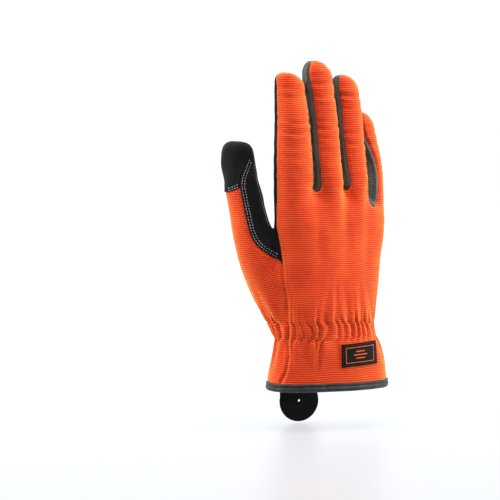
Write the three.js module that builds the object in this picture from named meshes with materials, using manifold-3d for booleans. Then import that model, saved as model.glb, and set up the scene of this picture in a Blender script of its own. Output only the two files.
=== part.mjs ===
// A slip-on work glove for the right hand, in millimetres.
// +Z runs up the fingers, the back of the hand faces -Y, the palm faces +Y and the thumb lies towards -X.
// The origin is the centre of the cuff's opening, level with the lower edge of the hem.
//
// The skin of the glove is the union of six lofts (hand, four fingers, thumb) less the same lofts drawn in by the
// thickness of the cloth. The panels are then cut from that skin along the seams, each row of a table being one section.

import * as THREE from "three";
import { mergeVertices } from "three/addons/utils/BufferGeometryUtils.js";
import Module from "manifold-3d";

const wasm = await Module();
wasm.setup();

// ---- driving sizes ----
const WALL = 1.3; // knit and suede
const GAP = 0.3; // between neighbouring pieces
const CUFF_BOTTOM = 5.8; // where the cloth starts, above the binding
const HEM_HEIGHT = 5.5;
const PALM_BOTTOM = 51; // lower edge of the suede palm
const STRAP_X = -14; // centre of the webbing strap, and the seam under it
const STRAP_WIDTH = 17;
const STRAP_THICKNESS = 1.3;
const TAB_THICKNESS = 2;
const TAB_RADIUS = 15.9;
const TAB_CENTRE = [-10.7, -12.7];
const TAB_HOLE_RADIUS = 1;
const GATHERS = 16; // puckers round the elastic
const ROUND = 64; // faces round the cuff, four to a pucker
const FAR = 140; // well outside the glove
const FAIR = 0.1; // flat areas are drawn with fewer faces, within this distance

// ---- section tables ----
// one row for each section: height, centre x, centre y, half width, half depth, squareness, turn in degrees
const HAND = [
  [5.8, 1.4, 2.0, 46.8, 23.4, 2.3, 0],
  [20, 1.7, 2.0, 45.1, 23.3, 2.3, 0],
  [34, 1.1, 2.0, 40.5, 22.8, 2.3, 0],
  [39, -0.1, 2.0, 39.0, 22.4, 2.3, 1],
  [44, -1.4, 2.0, 38.4, 22.1, 2.3, 1],
  [49, -1.0, 2.0, 38.3, 21.9, 2.3, 2],
  [56, -0.2, 2.0, 38.5, 21.6, 2.3, 3],
  [80, 2.1, 1.5, 40.6, 19.5, 2.3, 5],
  [105, 3.0, 1.5, 43.0, 18.0, 2.4, 7],
  [128, 3.3, 1.5, 44.9, 17.0, 2.4, 7],
  [136, 2.2, 1.6, 43.6, 15.6, 2.4, 8],
  [142, -2.0, 1.6, 38.0, 13.2, 2.4, 8],
  [146.5, -3.6, 1.8, 31.0, 9.5, 2.4, 8],
];
const HAND_TOP = 149.4;
// height of the pucker's crest over the even skin: height, amplitude
const PUCKER = [
  [35, 0],
  [39, 0.6],
  [44, 1.1],
  [49, 0.8],
  [56, 0.3],
  [62, 0],
];
// one row for each section: height, centre x, centre y, half width, half depth
const FINGERS = {
  index: {
    tip: 235.4,
    rows: [
      [104, -24.5, 0, 9.0, 9.0],
      [118, -25.9, -1, 14.4, 13.5],
      [135, -26.6, -1, 14.8, 14.0],
      [152, -27.4, -1, 14.7, 13.8],
      [175, -27.8, -1.4, 14.2, 13.2],
      [197, -28.3, -1.1, 13.1, 12.2],
      [222, -30.2, 0.5, 10.8, 10.5],
    ],
  },
  middle: {
    tip: 244.7,
    rows: [
      [104, 1.5, -1, 8.0, 8.0],
      [118, 1.5, -2, 11.5, 12.0],
      [135, 1.0, -2, 11.7, 13.0],
      [152, 0.1, -1, 11.5, 12.6],
      [180, -2.4, 0.6, 11.4, 11.8],
      [200, -3.5, 1.7, 11.2, 11.2],
      [231, -6.7, 3.2, 11.2, 10.4],
    ],
  },
  ring: {
    tip: 234.3,
    rows: [
      [104, 21.5, 0, 7.0, 8.0],
      [118, 21.8, 0, 10.6, 11.5],
      [135, 22.4, 0.8, 10.6, 11.8],
      [152, 22.9, 1.9, 10.4, 11.2],
      [180, 20.6, 5.0, 10.9, 10.8],
      [205, 18.9, 6.6, 10.8, 10.4],
      [222, 17.4, 7.2, 9.7, 9.6],
    ],
  },
  pinky: {
    tip: 207.9,
    rows: [
      [96, 34.5, 3, 6.0, 7.0],
      [110, 37.4, 4.6, 9.3, 10.4],
      [128, 39.2, 8.0, 9.8, 10.3],
      [145, 41.1, 12.5, 9.9, 9.9],
      [165, 41.4, 15.6, 9.7, 9.5],
      [183, 39.1, 17.8, 8.9, 8.9],
      [196, 36.7, 19, 8.3, 8.2],
    ],
  },
};
const THUMB = {
  tip: 184.4,
  rows: [
    [40, -22, 5.5, 15.8, 15.3],
    [46, -24.5, 6.5, 18.2, 17],
    [55, -27, 8, 19.3, 17.3],
    [70, -35.5, 10, 19.5, 17.3],
    [90, -46.0, 12, 17.5, 16.2],
    [118, -54.6, 14, 14.6, 14.2],
    [152, -61.1, 17.5, 13.3, 12.8],
    [172, -64.0, 20, 12.2, 11.8],
  ],
};
// one row for each wall between two fingers. Angles are degrees from the back (-Y) towards the little finger (+X):
// where the seam with the back and the seam with the palm run on each finger.
const FOURCHETTES = [
  // name, finger, back, palm, finger, back, palm, lower end, height of the crotch, half width there
  ["fourchette_index_middle", "index", 70, 122, "middle", -48, -118, 141.5, 149, 8.6],
  ["fourchette_middle_ring", "middle", 74, 126, "ring", -41, -110, 141.5, 149, 8.6],
  ["fourchette_ring_pinky", "ring", 80, 148, "pinky", 7, -96, 134, 143, 9.5],
];
// seams of the thumb's panel: height, x on the back of the glove, x on the palm side, y where the two meet inside
const THUMB_SEAM = [
  [-6, -41.2, STRAP_X, 2],
  [6, -41.2, STRAP_X, 2],
  [14, -37.6, STRAP_X, 2],
  [27, -35, STRAP_X, 2],
  [38, -35.2, STRAP_X, 3],
  [50, -35.2, -39.5, 5],
  [53, -35.2, -39.5, 6],
  [62, -35.6, -44.6, 8],
  [80, -37.6, -54.2, 11],
  [94.8, -38.6, -56.6, 12.4],
  [98, -46, -56.9, 12.6],
  [102, -51, -57.4, 12.9],
  [107, -55.4, -58.6, 13.2],
  [113, -59.2, -60.2, 13.6],
  [118.5, -61.2, -61.9, 14],
  [130, -63.4, -63.9, 15.2],
  [141, -65.3, -65.8, 16.4],
  [152, -66.9, -67.7, 17.5],
  [158, -66, -68.6, 18.8],
  [165, -62.5, -69.2, 21],
  [171, -59.5, -69.6, 22.6],
  [178, -57, -69.8, 23.2],
  [188, -55.5, -69.8, 23.4],
];
// radial edge of the back panel above the thumb: height, x
const BACK_EDGE = [
  [94, -38.4],
  [106, -39.8],
  [118, -41.2],
  [125, -42.8],
  [135, -44],
  [260, -46],
];
// finger seams of the back and palm panels at the outer sides, degrees from the back towards +X
const INDEX_SEAM = -84;
const PINKY_SEAM = 130;
// lower edge of the thumb's cap: height at x = -68, rise along x
const CAP_EDGE = { height: 149.6, rise: 0.55 };

// ---- small helpers ----
const RAD = Math.PI / 180;
const lerp = (a, b, t) => a + (b - a) * t;

// value of a table's column at a height, with straight lines between the rows
function tableAt(rows, z, column) {
  if (z <= rows[0][0]) return rows[0][column];
  for (let i = 1; i < rows.length; i++)
    if (z <= rows[i][0])
      return lerp(
        rows[i - 1][column],
        rows[i][column],
        (z - rows[i - 1][0]) / (rows[i][0] - rows[i - 1][0]),
      );
  return rows[rows.length - 1][column];
}

// a plan direction, in degrees from the back (-Y) towards +X
const direction = (degrees) => [
  Math.sin(degrees * RAD),
  -Math.cos(degrees * RAD),
];

function solidFrom(geometry) {
  const g = geometry.clone();
  for (const name of Object.keys(g.attributes))
    if (name !== "position") g.deleteAttribute(name);
  const merged = mergeVertices(g, 1e-4);
  return new wasm.Manifold(
    new wasm.Mesh({
      numProp: 3,
      vertProperties: new Float32Array(merged.attributes.position.array),
      triVerts: new Uint32Array(merged.index.array),
    }),
  );
}

// Closed loft through rings of [x, y, z] points, all rings with the same count, turning anticlockwise seen from +Z.
// top is a single pole point, or nothing for a flat end.
function loftGeometry(rings, top) {
  const count = rings[0].length;
  const positions = rings.flat(2);
  const index = [];
  for (let r = 0; r + 1 < rings.length; r++)
    for (let i = 0; i < count; i++) {
      const j = (i + 1) % count;
      const a = r * count + i;
      const b = r * count + j;
      index.push(a, b, b + count, a, b + count, a + count);
    }
  const capFaces = (ring) =>
    THREE.ShapeUtils.triangulateShape(
      ring.map((p) => new THREE.Vector2(p[0], p[1])),
      [],
    );
  for (const [a, b, c] of capFaces(rings[0])) index.push(a, c, b);
  const last = (rings.length - 1) * count;
  if (top) {
    positions.push(...top);
    const pole = rings.length * count;
    for (let i = 0; i < count; i++)
      index.push(last + i, last + ((i + 1) % count), pole);
  } else {
    for (const [a, b, c] of capFaces(rings[rings.length - 1]))
      index.push(last + a, last + b, last + c);
  }
  const geometry = new THREE.BufferGeometry();
  geometry.setAttribute(
    "position",
    new THREE.Float32BufferAttribute(positions, 3),
  );
  geometry.setIndex(index);
  return geometry;
}
const loft = (rings, top) => solidFrom(loftGeometry(rings, top));

// one superellipse section as a ring
function sectionRing(z, cx, cy, a, b, n, turn, count, wave) {
  const ring = [];
  const c = Math.cos(turn * RAD);
  const s = Math.sin(turn * RAD);
  for (let i = 0; i < count; i++) {
    const t = (2 * Math.PI * i) / count;
    const extra = wave ? wave(t) : 0;
    const x =
      (a + extra) * Math.sign(Math.cos(t)) * Math.abs(Math.cos(t)) ** (2 / n);
    const y =
      (b + extra) * Math.sign(Math.sin(t)) * Math.abs(Math.sin(t)) ** (2 / n);
    ring.push([cx + x * c - y * s, cy + x * s + y * c, z]);
  }
  return ring;
}

// the hand and cuff, drawn in by inset
function handSolid(inset, count, puckered) {
  const rings = HAND.map((row, i) => {
    let [z, cx, cy, a, b, n, turn] = row;
    if (i === 0 && inset > 0) z = -8;
    const amplitude = tableAt(PUCKER, z, 1);
    const drawn = inset > 0 && amplitude > 0 ? inset + 0.5 * amplitude : inset;
    const wave = puckered
      ? (t) => amplitude * Math.cos(GATHERS * t)
      : undefined;
    return sectionRing(z, cx, cy, a - drawn, b - drawn, n, turn, count, wave);
  });
  const last = HAND[HAND.length - 1];
  if (inset > 0) for (const ring of rings.slice(-3)) for (const p of ring) p[2] -= inset * 0.6;
  return loft(rings, [last[1], last[2], HAND_TOP - inset]);
}

// a finger or the thumb, drawn in by inset, with a round end
function digitSolid(digit, inset, count) {
  const rings = digit.rows.map(([z, cx, cy, a, b]) =>
    sectionRing(z, cx, cy, a - inset, b - inset, 2, 0, count),
  );
  const [z, cx, cy, a, b] = digit.rows[digit.rows.length - 1];
  const height = digit.tip - z - inset;
  for (const t of [30, 60])
    rings.push(
      sectionRing(
        z + height * Math.sin(t * RAD),
        cx,
        cy,
        (a - inset) * Math.cos(t * RAD),
        (b - inset) * Math.cos(t * RAD),
        2,
        0,
        count,
      ),
    );
  return loft(rings, [cx, cy, z + height]);
}

// moves each side of an anticlockwise plan polygon outwards by d
function grown(points, d) {
  const n = points.length;
  return points.map((p, i) => {
    const before = points[(i + n - 1) % n];
    const after = points[(i + 1) % n];
    const e1 = [p[0] - before[0], p[1] - before[1]];
    const e2 = [after[0] - p[0], after[1] - p[1]];
    const l1 = Math.hypot(...e1);
    const l2 = Math.hypot(...e2);
    const n1 = [e1[1] / l1, -e1[0] / l1];
    const n2 = [e2[1] / l2, -e2[0] / l2];
    const k = 1 + n1[0] * n2[0] + n1[1] * n2[1];
    return [
      p[0] + (d * (n1[0] + n2[0])) / k,
      p[1] + (d * (n1[1] + n2[1])) / k,
    ];
  });
}

const signedArea = (points) =>
  points.reduce((sum, p, i) => {
    const q = points[(i + 1) % points.length];
    return sum + p[0] * q[1] - q[0] * p[1];
  }, 0) / 2;

// a cutter through plan polygons at growing heights; each row is [z, points]
function cutter(rows, d, lower = 0, upper = 0) {
  const last = rows.length - 1;
  return loft(
    rows.map(([z, points], r) => {
      const turned = signedArea(points) < 0 ? [...points].reverse() : points;
      const shift = r === 0 ? -lower : r === last ? upper : 0;
      return grown(turned, d).map((p, i) => [
        p[0],
        p[1],
        (typeof z === "number" ? z : z(turned[i][0])) + shift,
      ]);
    }),
  );
}

const centre = (name, z) => {
  const { rows } = FINGERS[name];
  return [tableAt(rows, z, 1), tableAt(rows, z, 2)];
};

// ---- the skin ----
const outerParts = [handSolid(0, ROUND, true)];
const innerParts = [handSolid(WALL, 28, false)];
for (const digit of [...Object.values(FINGERS), THUMB]) {
  const count = digit === THUMB ? 20 : 18;
  outerParts.push(digitSolid(digit, 0, count));
  innerParts.push(digitSolid(digit, WALL, count - 4));
}
const joined = (parts) => parts.reduce((sum, part) => sum.add(part));
const outer = joined(outerParts);
const skin = outer
  .simplify(FAIR)
  .subtract(joined(innerParts).simplify(FAIR));

// ---- cutters ----
// half of a fourchette: the sector of one finger between its two seams, out to the plane midway to the next finger
function fourchetteHalf(row, side, d) {
  const [, nameA, backA, palmA, nameB, backB, palmB, low, crotch, half] = row;
  const [name, other, back, palm] =
    side === 0
      ? [nameA, nameB, backA, palmA]
      : [nameB, nameA, backB, palmB];
  const top = FINGERS[name].tip - 1.6;
  const heights = [
    low,
    crotch,
    crotch + 18,
    top - 30,
    top - 13,
    top,
  ].filter((z, i, all) => i === 0 || z > all[i - 1] + 1);
  const rows = heights.map((z) => {
    const c = centre(name, z);
    const o = centre(other, z);
    const mid = [(c[0] + o[0]) / 2, (c[1] + o[1]) / 2];
    const distance = Math.hypot(o[0] - c[0], o[1] - c[1]) / 2;
    const u = [(mid[0] - c[0]) / distance, (mid[1] - c[1]) / distance];
    // plan direction along the middle plane, towards the back of the hand
    let v = [u[1], -u[0]];
    if (v[1] > 0) v = [-v[0], -v[1]];
    const taper = Math.min(1, Math.max(0, (z - (top - 13)) / 13)) * 0.45;
    const middle = (back + palm) / 2;
    const spread = Math.min(1, Math.max(0, (z - crotch - 2) / 16));
    const reach = (angle, sign) => {
      const e = direction(lerp(angle, middle, taper));
      const along = Math.max(0.3, e[0] * u[0] + e[1] * u[1]);
      const length = Math.min(26, distance / along);
      const own = [c[0] + e[0] * length, c[1] + e[1] * length];
      const common = [mid[0] + v[0] * half * sign, mid[1] + v[1] * half * sign];
      return [
        lerp(common[0], own[0], spread) + u[0] * 0.05,
        lerp(common[1], own[1], spread) + u[1] * 0.05,
      ];
    };
    return [z, [c, reach(back, 1), reach(palm, -1)]];
  });
  return cutter(rows, d, d, d);
}
const fourchetteCutter = (row, d) =>
  fourchetteHalf(row, 0, d).add(fourchetteHalf(row, 1, d));

const frontX = (z) => tableAt(THUMB_SEAM, z, 1);
const palmX = (z) => tableAt(THUMB_SEAM, z, 2);
const insideY = (z) => tableAt(THUMB_SEAM, z, 3);
const capEdge = (x) => CAP_EDGE.height + (x + 68) * CAP_EDGE.rise;

// the two halves of the thumb's region between two heights: in front of and behind the line insideY
function thumbRegion(heights, d, lower, upper, slanted) {
  const xFar = -84;
  const front = [];
  const palm = [];
  for (const z of heights) {
    const level =
      (slanted === "top" && z === heights[heights.length - 1]) ||
      (slanted === "bottom" && z === heights[0])
        ? capEdge
        : z;
    front.push([
      level,
      [
        [xFar, -FAR],
        [frontX(z), -FAR],
        [frontX(z), insideY(z) + 0.2],
        [xFar, insideY(z) + 0.2],
      ],
    ]);
    palm.push([
      level,
      [
        [xFar, insideY(z) - 0.2],
        [palmX(z), insideY(z) - 0.2],
        [palmX(z), FAR],
        [xFar, FAR],
      ],
    ]);
  }
  return cutter(front, d, lower, upper).add(cutter(palm, d, lower, upper));
}

const seamHeights = THUMB_SEAM.map((row) => row[0]);
function sideRegion(d) {
  const box = (z0, z1, x0, x1) =>
    cutter(
      [z0, z1].map((z) => [
        z,
        [
          [x0, insideY(20) - 0.2],
          [x1, insideY(20) - 0.2],
          [x1, FAR],
          [x0, FAR],
        ],
      ]),
      d,
      d,
      d,
    );
  const upper = thumbRegion(
    [...seamHeights.filter((z) => z >= 50 && z < 140), 146],
    d,
    d,
    d === 0 ? -GAP / 2 : GAP / 2,
    "top",
  );
  const lowerFront = cutter(
    seamHeights
      .filter((z) => z <= 53)
      .map((z) => [
        z,
        [
          [-84, -FAR],
          [frontX(z), -FAR],
          [frontX(z), insideY(z) + 0.2],
          [-84, insideY(z) + 0.2],
        ],
      ]),
    d,
    d,
    d,
  );
  return upper.add(lowerFront).add(box(-6, PALM_BOTTOM, -84, STRAP_X));
}
function capRegion(d) {
  return thumbRegion(
    [152, ...seamHeights.filter((z) => z > 152)],
    d,
    d === 0 ? -GAP / 2 : GAP / 2,
    d,
    "bottom",
  );
}

function backRegion(d) {
  const heights = [44, 60, 80, 95, 105, 112, 118, 125, 135, 150, 165, 180, 196, 210, 222, 232, 250];
  const rows = heights.map((z) => {
    const inHand = Math.min(1, Math.max(0, (118 - z) / 18));
    const index = centre("index", z);
    const pinky = centre("pinky", z);
    const wrist = tableAt(HAND, z, 1) + tableAt(HAND, z, 3) - 13;
    const pinkyX = lerp(pinky[0], Math.min(pinky[0], wrist), inHand);
    const edge = z < 95 ? frontX(z) - 1 : tableAt(BACK_EDGE, z, 1);
    const e = direction(INDEX_SEAM);
    const run = (edge - index[0]) / e[0];
    const p = direction(PINKY_SEAM);
    const middle = centre("middle", z);
    const ring = centre("ring", z);
    return [
      z,
      [
        [edge, -FAR],
        [FAR, -FAR],
        [FAR, pinky[1] + 60 * p[1]],
        [pinkyX + 60 * p[0], pinky[1] + 60 * p[1]],
        [pinkyX, pinky[1]],
        ring,
        middle,
        index,
        [edge, lerp(index[1] + run * e[1], insideY(z), z < 95 ? 0.5 : 0)],
      ],
    ];
  });
  const low = cutter(
    [-6, PALM_BOTTOM].map((z) => [
      z,
      [
        [-FAR, -FAR],
        [FAR, -FAR],
        [FAR, FAR],
        [-FAR, FAR],
      ],
    ]),
    0,
    0,
    d,
  );
  return cutter(rows, d, 0, 0).add(low);
}

// ---- panels ----
const pieces = [];
let rest = skin;
for (const row of FOURCHETTES) {
  pieces.push([row[0], rest.intersect(fourchetteCutter(row, 0)), "knitGrey"]);
}
for (const row of FOURCHETTES) rest = rest.subtract(fourchetteCutter(row, GAP));
pieces.push(["thumb_cap", rest.intersect(capRegion(0)), "suede"]);
rest = rest.subtract(capRegion(GAP));
pieces.push(["side_panel", rest.intersect(sideRegion(0)), "knitOrange"]);
rest = rest.subtract(sideRegion(GAP));
pieces.push(["back_panel", rest.intersect(backRegion(0)), "knitOrange"]);
rest = rest.subtract(backRegion(GAP));
pieces.push(["palm_panel", rest, "suede"]);

// ---- hem binding ----
const hem = (offset) => [1.4, 2.0, 47.1 + offset, 23.4 + offset, 2.3, 0];
const bindingProfile = [
  [0, -1.2],
  [0.7, 0.3],
  [2.6, 0.8],
  [4.7, 0.4],
  [HEM_HEIGHT, -0.8],
];
const binding = loft(
  bindingProfile.map(([z, offset]) => sectionRing(z, ...hem(offset), 40)),
).subtract(
  loft([-2, HEM_HEIGHT + 2].map((z) => sectionRing(z, ...hem(-2.4), 40))),
);
pieces.push(["hem_binding", binding, "binding"]);

// ---- label on the back of the cuff ----
const LABEL = {
  // corners as x, z: lower left, lower right, upper right, upper left
  corners: [
    [3.2, 17.6],
    [33.6, 19.4],
    [33.6, 36.2],
    [3.2, 34.6],
  ],
  thickness: 0.8,
};
const labelShape = new THREE.Shape(
  LABEL.corners.map(([x, z]) => new THREE.Vector2(x, z)),
);
const labelCutter = new THREE.ExtrudeGeometry(labelShape, {
  depth: 60,
  bevelEnabled: false,
});
labelCutter.rotateX(Math.PI / 2); // from x, y to x, z, running towards -Y
const cuffLayer = (offset) =>
  loft(
    HAND.slice(0, 7).map(([z, cx, cy, a, b, n, turn]) =>
      sectionRing(z, cx, cy, a + offset, b + offset, n, turn, ROUND),
    ),
  );
const LABEL_OFF = 0.4;
pieces.push([
  "label",
  cuffLayer(LABEL_OFF + LABEL.thickness)
    .subtract(cuffLayer(LABEL_OFF))
    .intersect(solidFrom(labelCutter)),
  "label",
]);

// ---- webbing strap over the palm side of the cuff ----
// y of the cuff's palm side at x and z, with the puckers' crests
function palmY(x, z) {
  const [cx, cy, a, b, n, turn] = [1, 2, 3, 4, 5, 6].map((column) =>
    tableAt(HAND, z, column),
  );
  const crest = tableAt(PUCKER, z, 1);
  const u = Math.min(0.999, Math.abs((x - cx) / (a + crest)));
  const cuff =
    cy + (b + crest) * (1 - u ** n) ** (1 / n) + Math.sin(turn * RAD) * (x - cx);
  if (z < THUMB.rows[0][0]) return cuff;
  const [tx, ty, ta, tb] = [1, 2, 3, 4].map((column) =>
    tableAt(THUMB.rows, z, column),
  );
  const v = Math.min(1, Math.abs((x - tx) / ta));
  return Math.max(cuff, ty + tb * Math.sqrt(1 - v * v));
}
const STRAP_LOW = 0.6;
const hemY = 2 + 23.4 + 0.8 + GAP;
const strapRows = [STRAP_LOW, 6.6, 14, 24, 34, 39, 44, 46, 49, PALM_BOTTOM - 0.5];
const strapColumns = 6;
function strapRing(z) {
  const y = (x) => (z < 7 ? hemY : palmY(x, z) + 0.45);
  const xs = Array.from(
    { length: strapColumns + 1 },
    (_, i) => STRAP_X - STRAP_WIDTH / 2 + (STRAP_WIDTH * i) / strapColumns,
  );
  return [
    ...xs.map((x) => [x, y(x), z]),
    ...[...xs].reverse().map((x) => [x, y(x) + STRAP_THICKNESS, z]),
  ];
}
pieces.push(["wrist_strap", loft(strapRows.map(strapRing)), "webbing"]);

// ---- pull tab ----
const tabShape = new THREE.Shape();
tabShape.moveTo(4.5, 6);
tabShape.lineTo(-26.3, 6);
tabShape.lineTo(-26.5, -8);
tabShape.absarc(
  TAB_CENTRE[0],
  TAB_CENTRE[1],
  TAB_RADIUS,
  Math.PI - 0.28,
  2 * Math.PI + 0.45,
  false,
);
tabShape.lineTo(3.4, -2.2);
tabShape.closePath();
const tabHole = new THREE.Path();
tabHole.absarc(TAB_CENTRE[0], TAB_CENTRE[1], TAB_HOLE_RADIUS, 0, 2 * Math.PI, true);
tabShape.holes.push(tabHole);
const tabGeometry = new THREE.ExtrudeGeometry(tabShape, {
  depth: TAB_THICKNESS,
  bevelEnabled: false,
  curveSegments: 28,
});
tabGeometry.rotateX(Math.PI / 2);
tabGeometry.translate(0, hemY + STRAP_THICKNESS + GAP + TAB_THICKNESS, 0);
pieces.push(["pull_tab", solidFrom(tabGeometry), "suede"]);

// ---- scene ----
const MATERIALS = {
  knitOrange: { color: 0xf4592a, roughness: 0.85, metalness: 0 },
  knitGrey: { color: 0x56554f, roughness: 0.85, metalness: 0 },
  suede: { color: 0x1b1b1d, roughness: 0.92, metalness: 0 },
  binding: { color: 0x3a3c3d, roughness: 0.8, metalness: 0 },
  label: { color: 0x171719, roughness: 0.6, metalness: 0 },
  webbing: { color: 0x5f615e, roughness: 0.8, metalness: 0 },
};

// drops slivers thinner than a hair, and crumbs that a cut leaves beside the piece
function cleaned(solid) {
  const bodies = solid.simplify(FAIR).decompose();
  bodies.sort((a, b) => b.volume() - a.volume());
  return bodies[0];
}

const glove = new THREE.Group();
for (const [name, solid, look] of pieces) {
  const { vertProperties, triVerts } = cleaned(solid).getMesh();
  const geometry = new THREE.BufferGeometry();
  geometry.setAttribute(
    "position",
    new THREE.Float32BufferAttribute(vertProperties, 3),
  );
  geometry.setIndex([...triVerts]);
  geometry.computeVertexNormals();
  const mesh = new THREE.Mesh(
    geometry,
    new THREE.MeshStandardMaterial(MATERIALS[look]),
  );
  mesh.name = name;
  glove.add(mesh);
}

export default glove;
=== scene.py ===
"""A right-hand slip-on work glove: ribbed knit back, suede palm, knit finger walls and a gathered wrist.

The glove's skin is the level surface of a smooth union of six lofts (hand, four fingers, thumb). It is
cut into its panels along the seams, each panel gets its relief (gathers, seams, creases) and the
thickness of its cloth, and the trims are swept or laid over the finished skin. Lengths in the functions
are millimetres; meshes are in metres.
"""

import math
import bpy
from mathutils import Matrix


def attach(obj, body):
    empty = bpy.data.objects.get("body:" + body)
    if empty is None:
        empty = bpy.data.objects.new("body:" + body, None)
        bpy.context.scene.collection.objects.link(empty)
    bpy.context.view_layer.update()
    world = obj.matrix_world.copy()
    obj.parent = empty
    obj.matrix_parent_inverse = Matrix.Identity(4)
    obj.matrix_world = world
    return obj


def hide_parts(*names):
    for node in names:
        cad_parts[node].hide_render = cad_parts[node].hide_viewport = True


bl_info = {
    "name": "Knit and suede work glove",
    "version": (1, 0, 0),
    "blender": (4, 5, 0),
    "location": "View3D > Sidebar > Glove",
    "description": "Builds a slip-on work glove over its fixed frame, with its floor, lights and camera",
    "category": "Object",
}

import bpy
import numpy as np
from mathutils import Vector
from mathutils.bvhtree import BVHTree

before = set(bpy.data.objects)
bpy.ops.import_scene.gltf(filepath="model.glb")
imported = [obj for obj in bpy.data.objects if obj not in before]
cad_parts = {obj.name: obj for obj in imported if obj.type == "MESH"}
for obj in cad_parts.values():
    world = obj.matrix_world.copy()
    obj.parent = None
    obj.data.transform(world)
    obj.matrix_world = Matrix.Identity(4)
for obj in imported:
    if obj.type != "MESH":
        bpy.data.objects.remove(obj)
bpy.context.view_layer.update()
MM = 0.001
TAU = 2 * math.pi

# Section tables, close to the part's source: height, centre x, centre y, half width, half depth and, for the
# hand, the turn of the section in degrees

HAND_ROWS = [
    [5.8, 1.4, 2.0, 46.8, 23.4, 0],
    [20, 1.7, 2.0, 45.1, 23.3, 0],
    [34, 1.1, 2.0, 40.5, 22.8, 0],
    [39, -0.1, 2.0, 39.0, 22.4, 1],
    [44, -1.4, 2.0, 38.4, 22.1, 1],
    [49, -1.0, 2.0, 38.3, 21.9, 2],
    [56, -0.2, 2.0, 38.5, 21.6, 3],
    [80, 2.1, 1.5, 40.6, 19.3, 5],
    [105, 3.0, 1.5, 43.0, 17.6, 7],
    [128, 3.3, 1.5, 44.7, 16.3, 7],
    [136, 2.4, 1.6, 43.6, 14.8, 8],
    [142, -2.0, 1.6, 38.0, 12.4, 8],
    [146.5, -3.6, 1.8, 31.0, 9.0, 8],
]
HAND_TOP = 149.4
DIGIT_ROWS = {
    "index": [
        [104, -24.5, 0, 9.0, 9.0],
        [118, -25.9, -1, 14.4, 13.5],
        [135, -26.6, -1, 14.8, 14.0],
        [152, -27.4, -1, 14.7, 13.8],
        [175, -27.8, -1.4, 14.2, 13.2],
        [197, -28.2, -1.1, 13.3, 12.2],
        [222, -30.1, 0.5, 11.0, 10.6],
    ],
    "middle": [
        [104, 1.5, -1, 8.0, 8.0],
        [118, 1.5, -2, 11.5, 12.0],
        [135, 1.0, -2, 11.5, 13.0],
        [152, 0.1, -1, 11.3, 12.6],
        [180, -2.4, 0.6, 11.4, 11.8],
        [200, -3.5, 1.7, 11.3, 11.2],
        [231, -6.7, 3.2, 11.2, 10.4],
    ],
    "ring": [
        [104, 21.5, 0, 7.0, 8.0],
        [118, 21.8, 0, 10.6, 11.5],
        [135, 22.4, 0.8, 10.4, 11.8],
        [152, 22.9, 1.9, 10.2, 11.2],
        [180, 20.6, 5.0, 10.9, 10.8],
        [205, 18.9, 6.6, 10.9, 10.4],
        [222, 17.4, 7.2, 9.9, 9.6],
    ],
    "pinky": [
        [96, 34.5, 3, 6.0, 7.0],
        [110, 37.4, 4.6, 9.3, 10.4],
        [128, 39.2, 8.0, 9.8, 10.3],
        [145, 41.1, 12.5, 9.9, 9.9],
        [165, 41.4, 15.6, 9.8, 9.5],
        [183, 39.1, 17.8, 9.1, 8.9],
        [196, 36.9, 19, 8.5, 8.3],
    ],
    "thumb": [
        [40, -22, 5.5, 15.5, 15],
        [46, -24.5, 6.5, 18.2, 17],
        [55, -27, 8, 19.3, 17.3],
        [70, -35.5, 10, 19.5, 17.3],
        [90, -46.0, 12, 17.3, 16.2],
        [118, -54.6, 14, 14.5, 14.2],
        [152, -61.1, 17.5, 13.0, 12.8],
        [172, -63.8, 20, 12.2, 11.8],
    ],
}
# each digit's end: height of the tip, how square its dome is, and its slope towards the little finger
TIPS = {
    "index": (233.9, 2.8, 0.27),
    "middle": (243.7, 2.4, 0.22),
    "ring": (233.7, 2.4, 0.28),
    "pinky": (206.9, 2.3, 0.33),
    "thumb": (184.4, 2.7, 0.0),
}
FINGERS = ("index", "middle", "ring", "pinky")
# seams of the thumb's panel: height, x on the back of the glove, x on the palm side, y where the two meet
# inside
THUMB_SEAM = np.array(
    [
        [-6, -41.2, -39.5, 2],
        [6, -41.2, -39.5, 2],
        [14, -37.6, -39.5, 2],
        [27, -35.0, -39.5, 2],
        [38, -35.2, -39.5, 3],
        [50, -35.2, -39.5, 5],
        [53, -35.2, -39.5, 6],
        [62, -35.6, -44.6, 8],
        [80, -37.6, -54.2, 11],
        [97.5, -38.8, -56.8, 12.5],
        [100, -45.4, -57.1, 12.7],
        [103.2, -50.6, -57.6, 13.0],
        [107, -55.4, -58.6, 13.2],
        [113, -59.2, -60.2, 13.6],
        [118.5, -61.2, -61.9, 14],
        [130, -63.4, -63.9, 15.2],
        [141, -65.3, -65.8, 16.4],
        [152, -66.9, -67.7, 17.5],
        [158, -66, -68.6, 18.8],
        [165, -62.5, -69.2, 21],
        [171, -59.5, -69.6, 22.6],
        [178, -57, -69.8, 23.2],
        [188, -55.5, -69.8, 23.4],
    ]
)
# walls between the fingers: the two fingers, each with its back seam's angle at heights and its palm seam's
# angle, in degrees from the back of the hand towards the little finger, and the slit's lower end on the
# back and on the palm
SLITS = {
    "fourchette_index_middle": (
        "index", ([0, 70], [300, 70]), 132,
        "middle", ([150, -50], [165, -47], [222, -48], [236, -60]), -126,
        148.2, 146.0,
    ),
    "fourchette_middle_ring": (
        "middle", ([0, 75], [300, 75]), 134,
        "ring", ([150, -37], [165, -43], [212, -46], [228, -58]), -118,
        149.2, 146.5,
    ),
    "fourchette_ring_pinky": (
        "ring", ([0, 72], [300, 72]), 150,
        "pinky", ([140, 9], [158, 17], [168, 12], [178, -1], [190, -24], [206, -40]), -98,
        138.6, 141.0,
    ),
}
STRAP_X = -14.0
# the elastic's two pinched lines, the height between them, and the number of puckers round the cuff
ELASTIC_LOW, ELASTIC_HIGH = 38.5, 50.0
ELASTIC_MIDDLE = 44.5
PUCKERS = 34


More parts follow.
